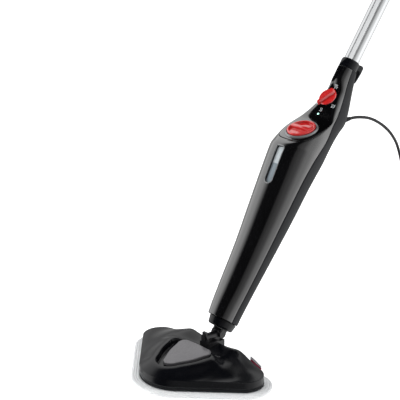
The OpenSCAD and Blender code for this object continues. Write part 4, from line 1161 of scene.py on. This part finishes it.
# Ways from the mast: to its front, to its side, and up along it
FRONT_WAY, SIDE_WAY, MAST_WAY = (0.689, -0.638, 0.344), (0.717, 0.551, -0.413), (0, 0.602, 0.799)
MIDDLE = (0, 0.15, 0.35)
soft_box("left_box", (-1.5, -1.5, 0.9), MIDDLE, (1.6, 2.2), 46)
soft_box("right_box", (1.9, 1.2, 1.0), MIDDLE, (1.0, 1.8), 24)
soft_box("top_box", (0.1, 0.0, 2.4), MIDDLE, (2.2, 2.2), 34)
TUBE_MIDDLE = Vector((0, 0.45, 0.65))
tube_box = soft_box("tube_box", TUBE_MIDDLE + 2.0 * (0.82 * Vector(FRONT_WAY) - 0.57 * Vector(SIDE_WAY)),
                    TUBE_MIDDLE, (2.6, 2.6), 22)
tube_box.visible_glossy = True
tube_only = bpy.data.collections.new("tube_only")
tube_only.objects.link(tube)
tube_box.light_linking.receiver_collection = tube_only

world = bpy.data.worlds.new("studio")
scene.world = world
world.use_nodes = True
tree = world.node_tree
background = set_inputs(tree.nodes["Background"], Color=(0.9, 0.95, 1.0, 1), Strength=0.22)
plain = set_inputs(tree.nodes.new("ShaderNodeBackground"), Color=(1, 1, 1, 1), Strength=1.0)


def world_math(operation, *values):
    """Math node on outputs or constants."""
    node = tree.nodes.new("ShaderNodeMath")
    node.operation = operation
    for socket, value in zip(node.inputs, values):
        if hasattr(value, "links"):
            tree.links.new(value, socket)
        else:
            socket.default_value = value
    return node.outputs[0]


def direction_part(axis):
    """How far a ray's direction goes along an axis."""
    node = tree.nodes.new("ShaderNodeVectorMath")
    node.operation = "DOT_PRODUCT"
    node.inputs[1].default_value = axis
    tree.links.new(where.outputs["Generated"], node.inputs[0])
    return node.outputs["Value"]


# Studio walls as polished surfaces see them: (turn about the mast from FRONT_WAY towards SIDE_WAY, level).
# Rays that climb along the mast by more than CLIMB see the walls turned on, by TWIST turns per unit of climb.
CLIMB, TWIST = 0.4, 60 / 360
WALLS = [(-180, 0.40), (-146, 0.45), (-130, 1.2), (-96, 1.25), (-74, 0.01), (-24, 0.01), (-14, 0.14),
         (10, 0.26), (50, 0.85), (88, 1.5), (130, 1.2), (152, 0.45), (180, 0.40)]
where = tree.nodes.new("ShaderNodeTexCoord")
turn = world_math("ARCTAN2", direction_part(SIDE_WAY), direction_part(FRONT_WAY))
rise = world_math("MAXIMUM", world_math("SUBTRACT", direction_part(MAST_WAY), CLIMB), 0.0)
twist = world_math("MULTIPLY_ADD", rise, TWIST, 0.5)
place_on_wall = world_math("MULTIPLY_ADD", turn, 1 / (2 * math.pi), twist)
ramp = tree.nodes.new("ShaderNodeValToRGB")
ramp.color_ramp.interpolation = "EASE"
TOP_LEVEL = 1.6
for k, (angle, level) in enumerate(WALLS):
    spot = (angle + 180) / 360
    stop = ramp.color_ramp.elements[0] if k == 0 else (
        ramp.color_ramp.elements[-1] if k == len(WALLS) - 1 else ramp.color_ramp.elements.new(spot))
    stop.position = spot
    stop.color = (level / TOP_LEVEL,) * 3 + (1,)
tree.links.new(place_on_wall, ramp.inputs[0])
walls = set_inputs(tree.nodes.new("ShaderNodeBackground"), Strength=TOP_LEVEL)
tree.links.new(ramp.outputs[0], walls.inputs["Color"])
path = tree.nodes.new("ShaderNodeLightPath")
surface = background.outputs[0]
for ray_kind, seen in (("Is Glossy Ray", walls), ("Is Camera Ray", plain)):
    mix = tree.nodes.new("ShaderNodeMixShader")
    for socket, output in zip(mix.inputs, (path.outputs[ray_kind], surface, seen.outputs[0])):
        tree.links.new(output, socket)
    surface = mix.outputs[0]
tree.links.new(surface, tree.nodes["World Output"].inputs["Surface"])
scene.view_settings.view_transform = "Standard"
scene.view_settings.look = "None"
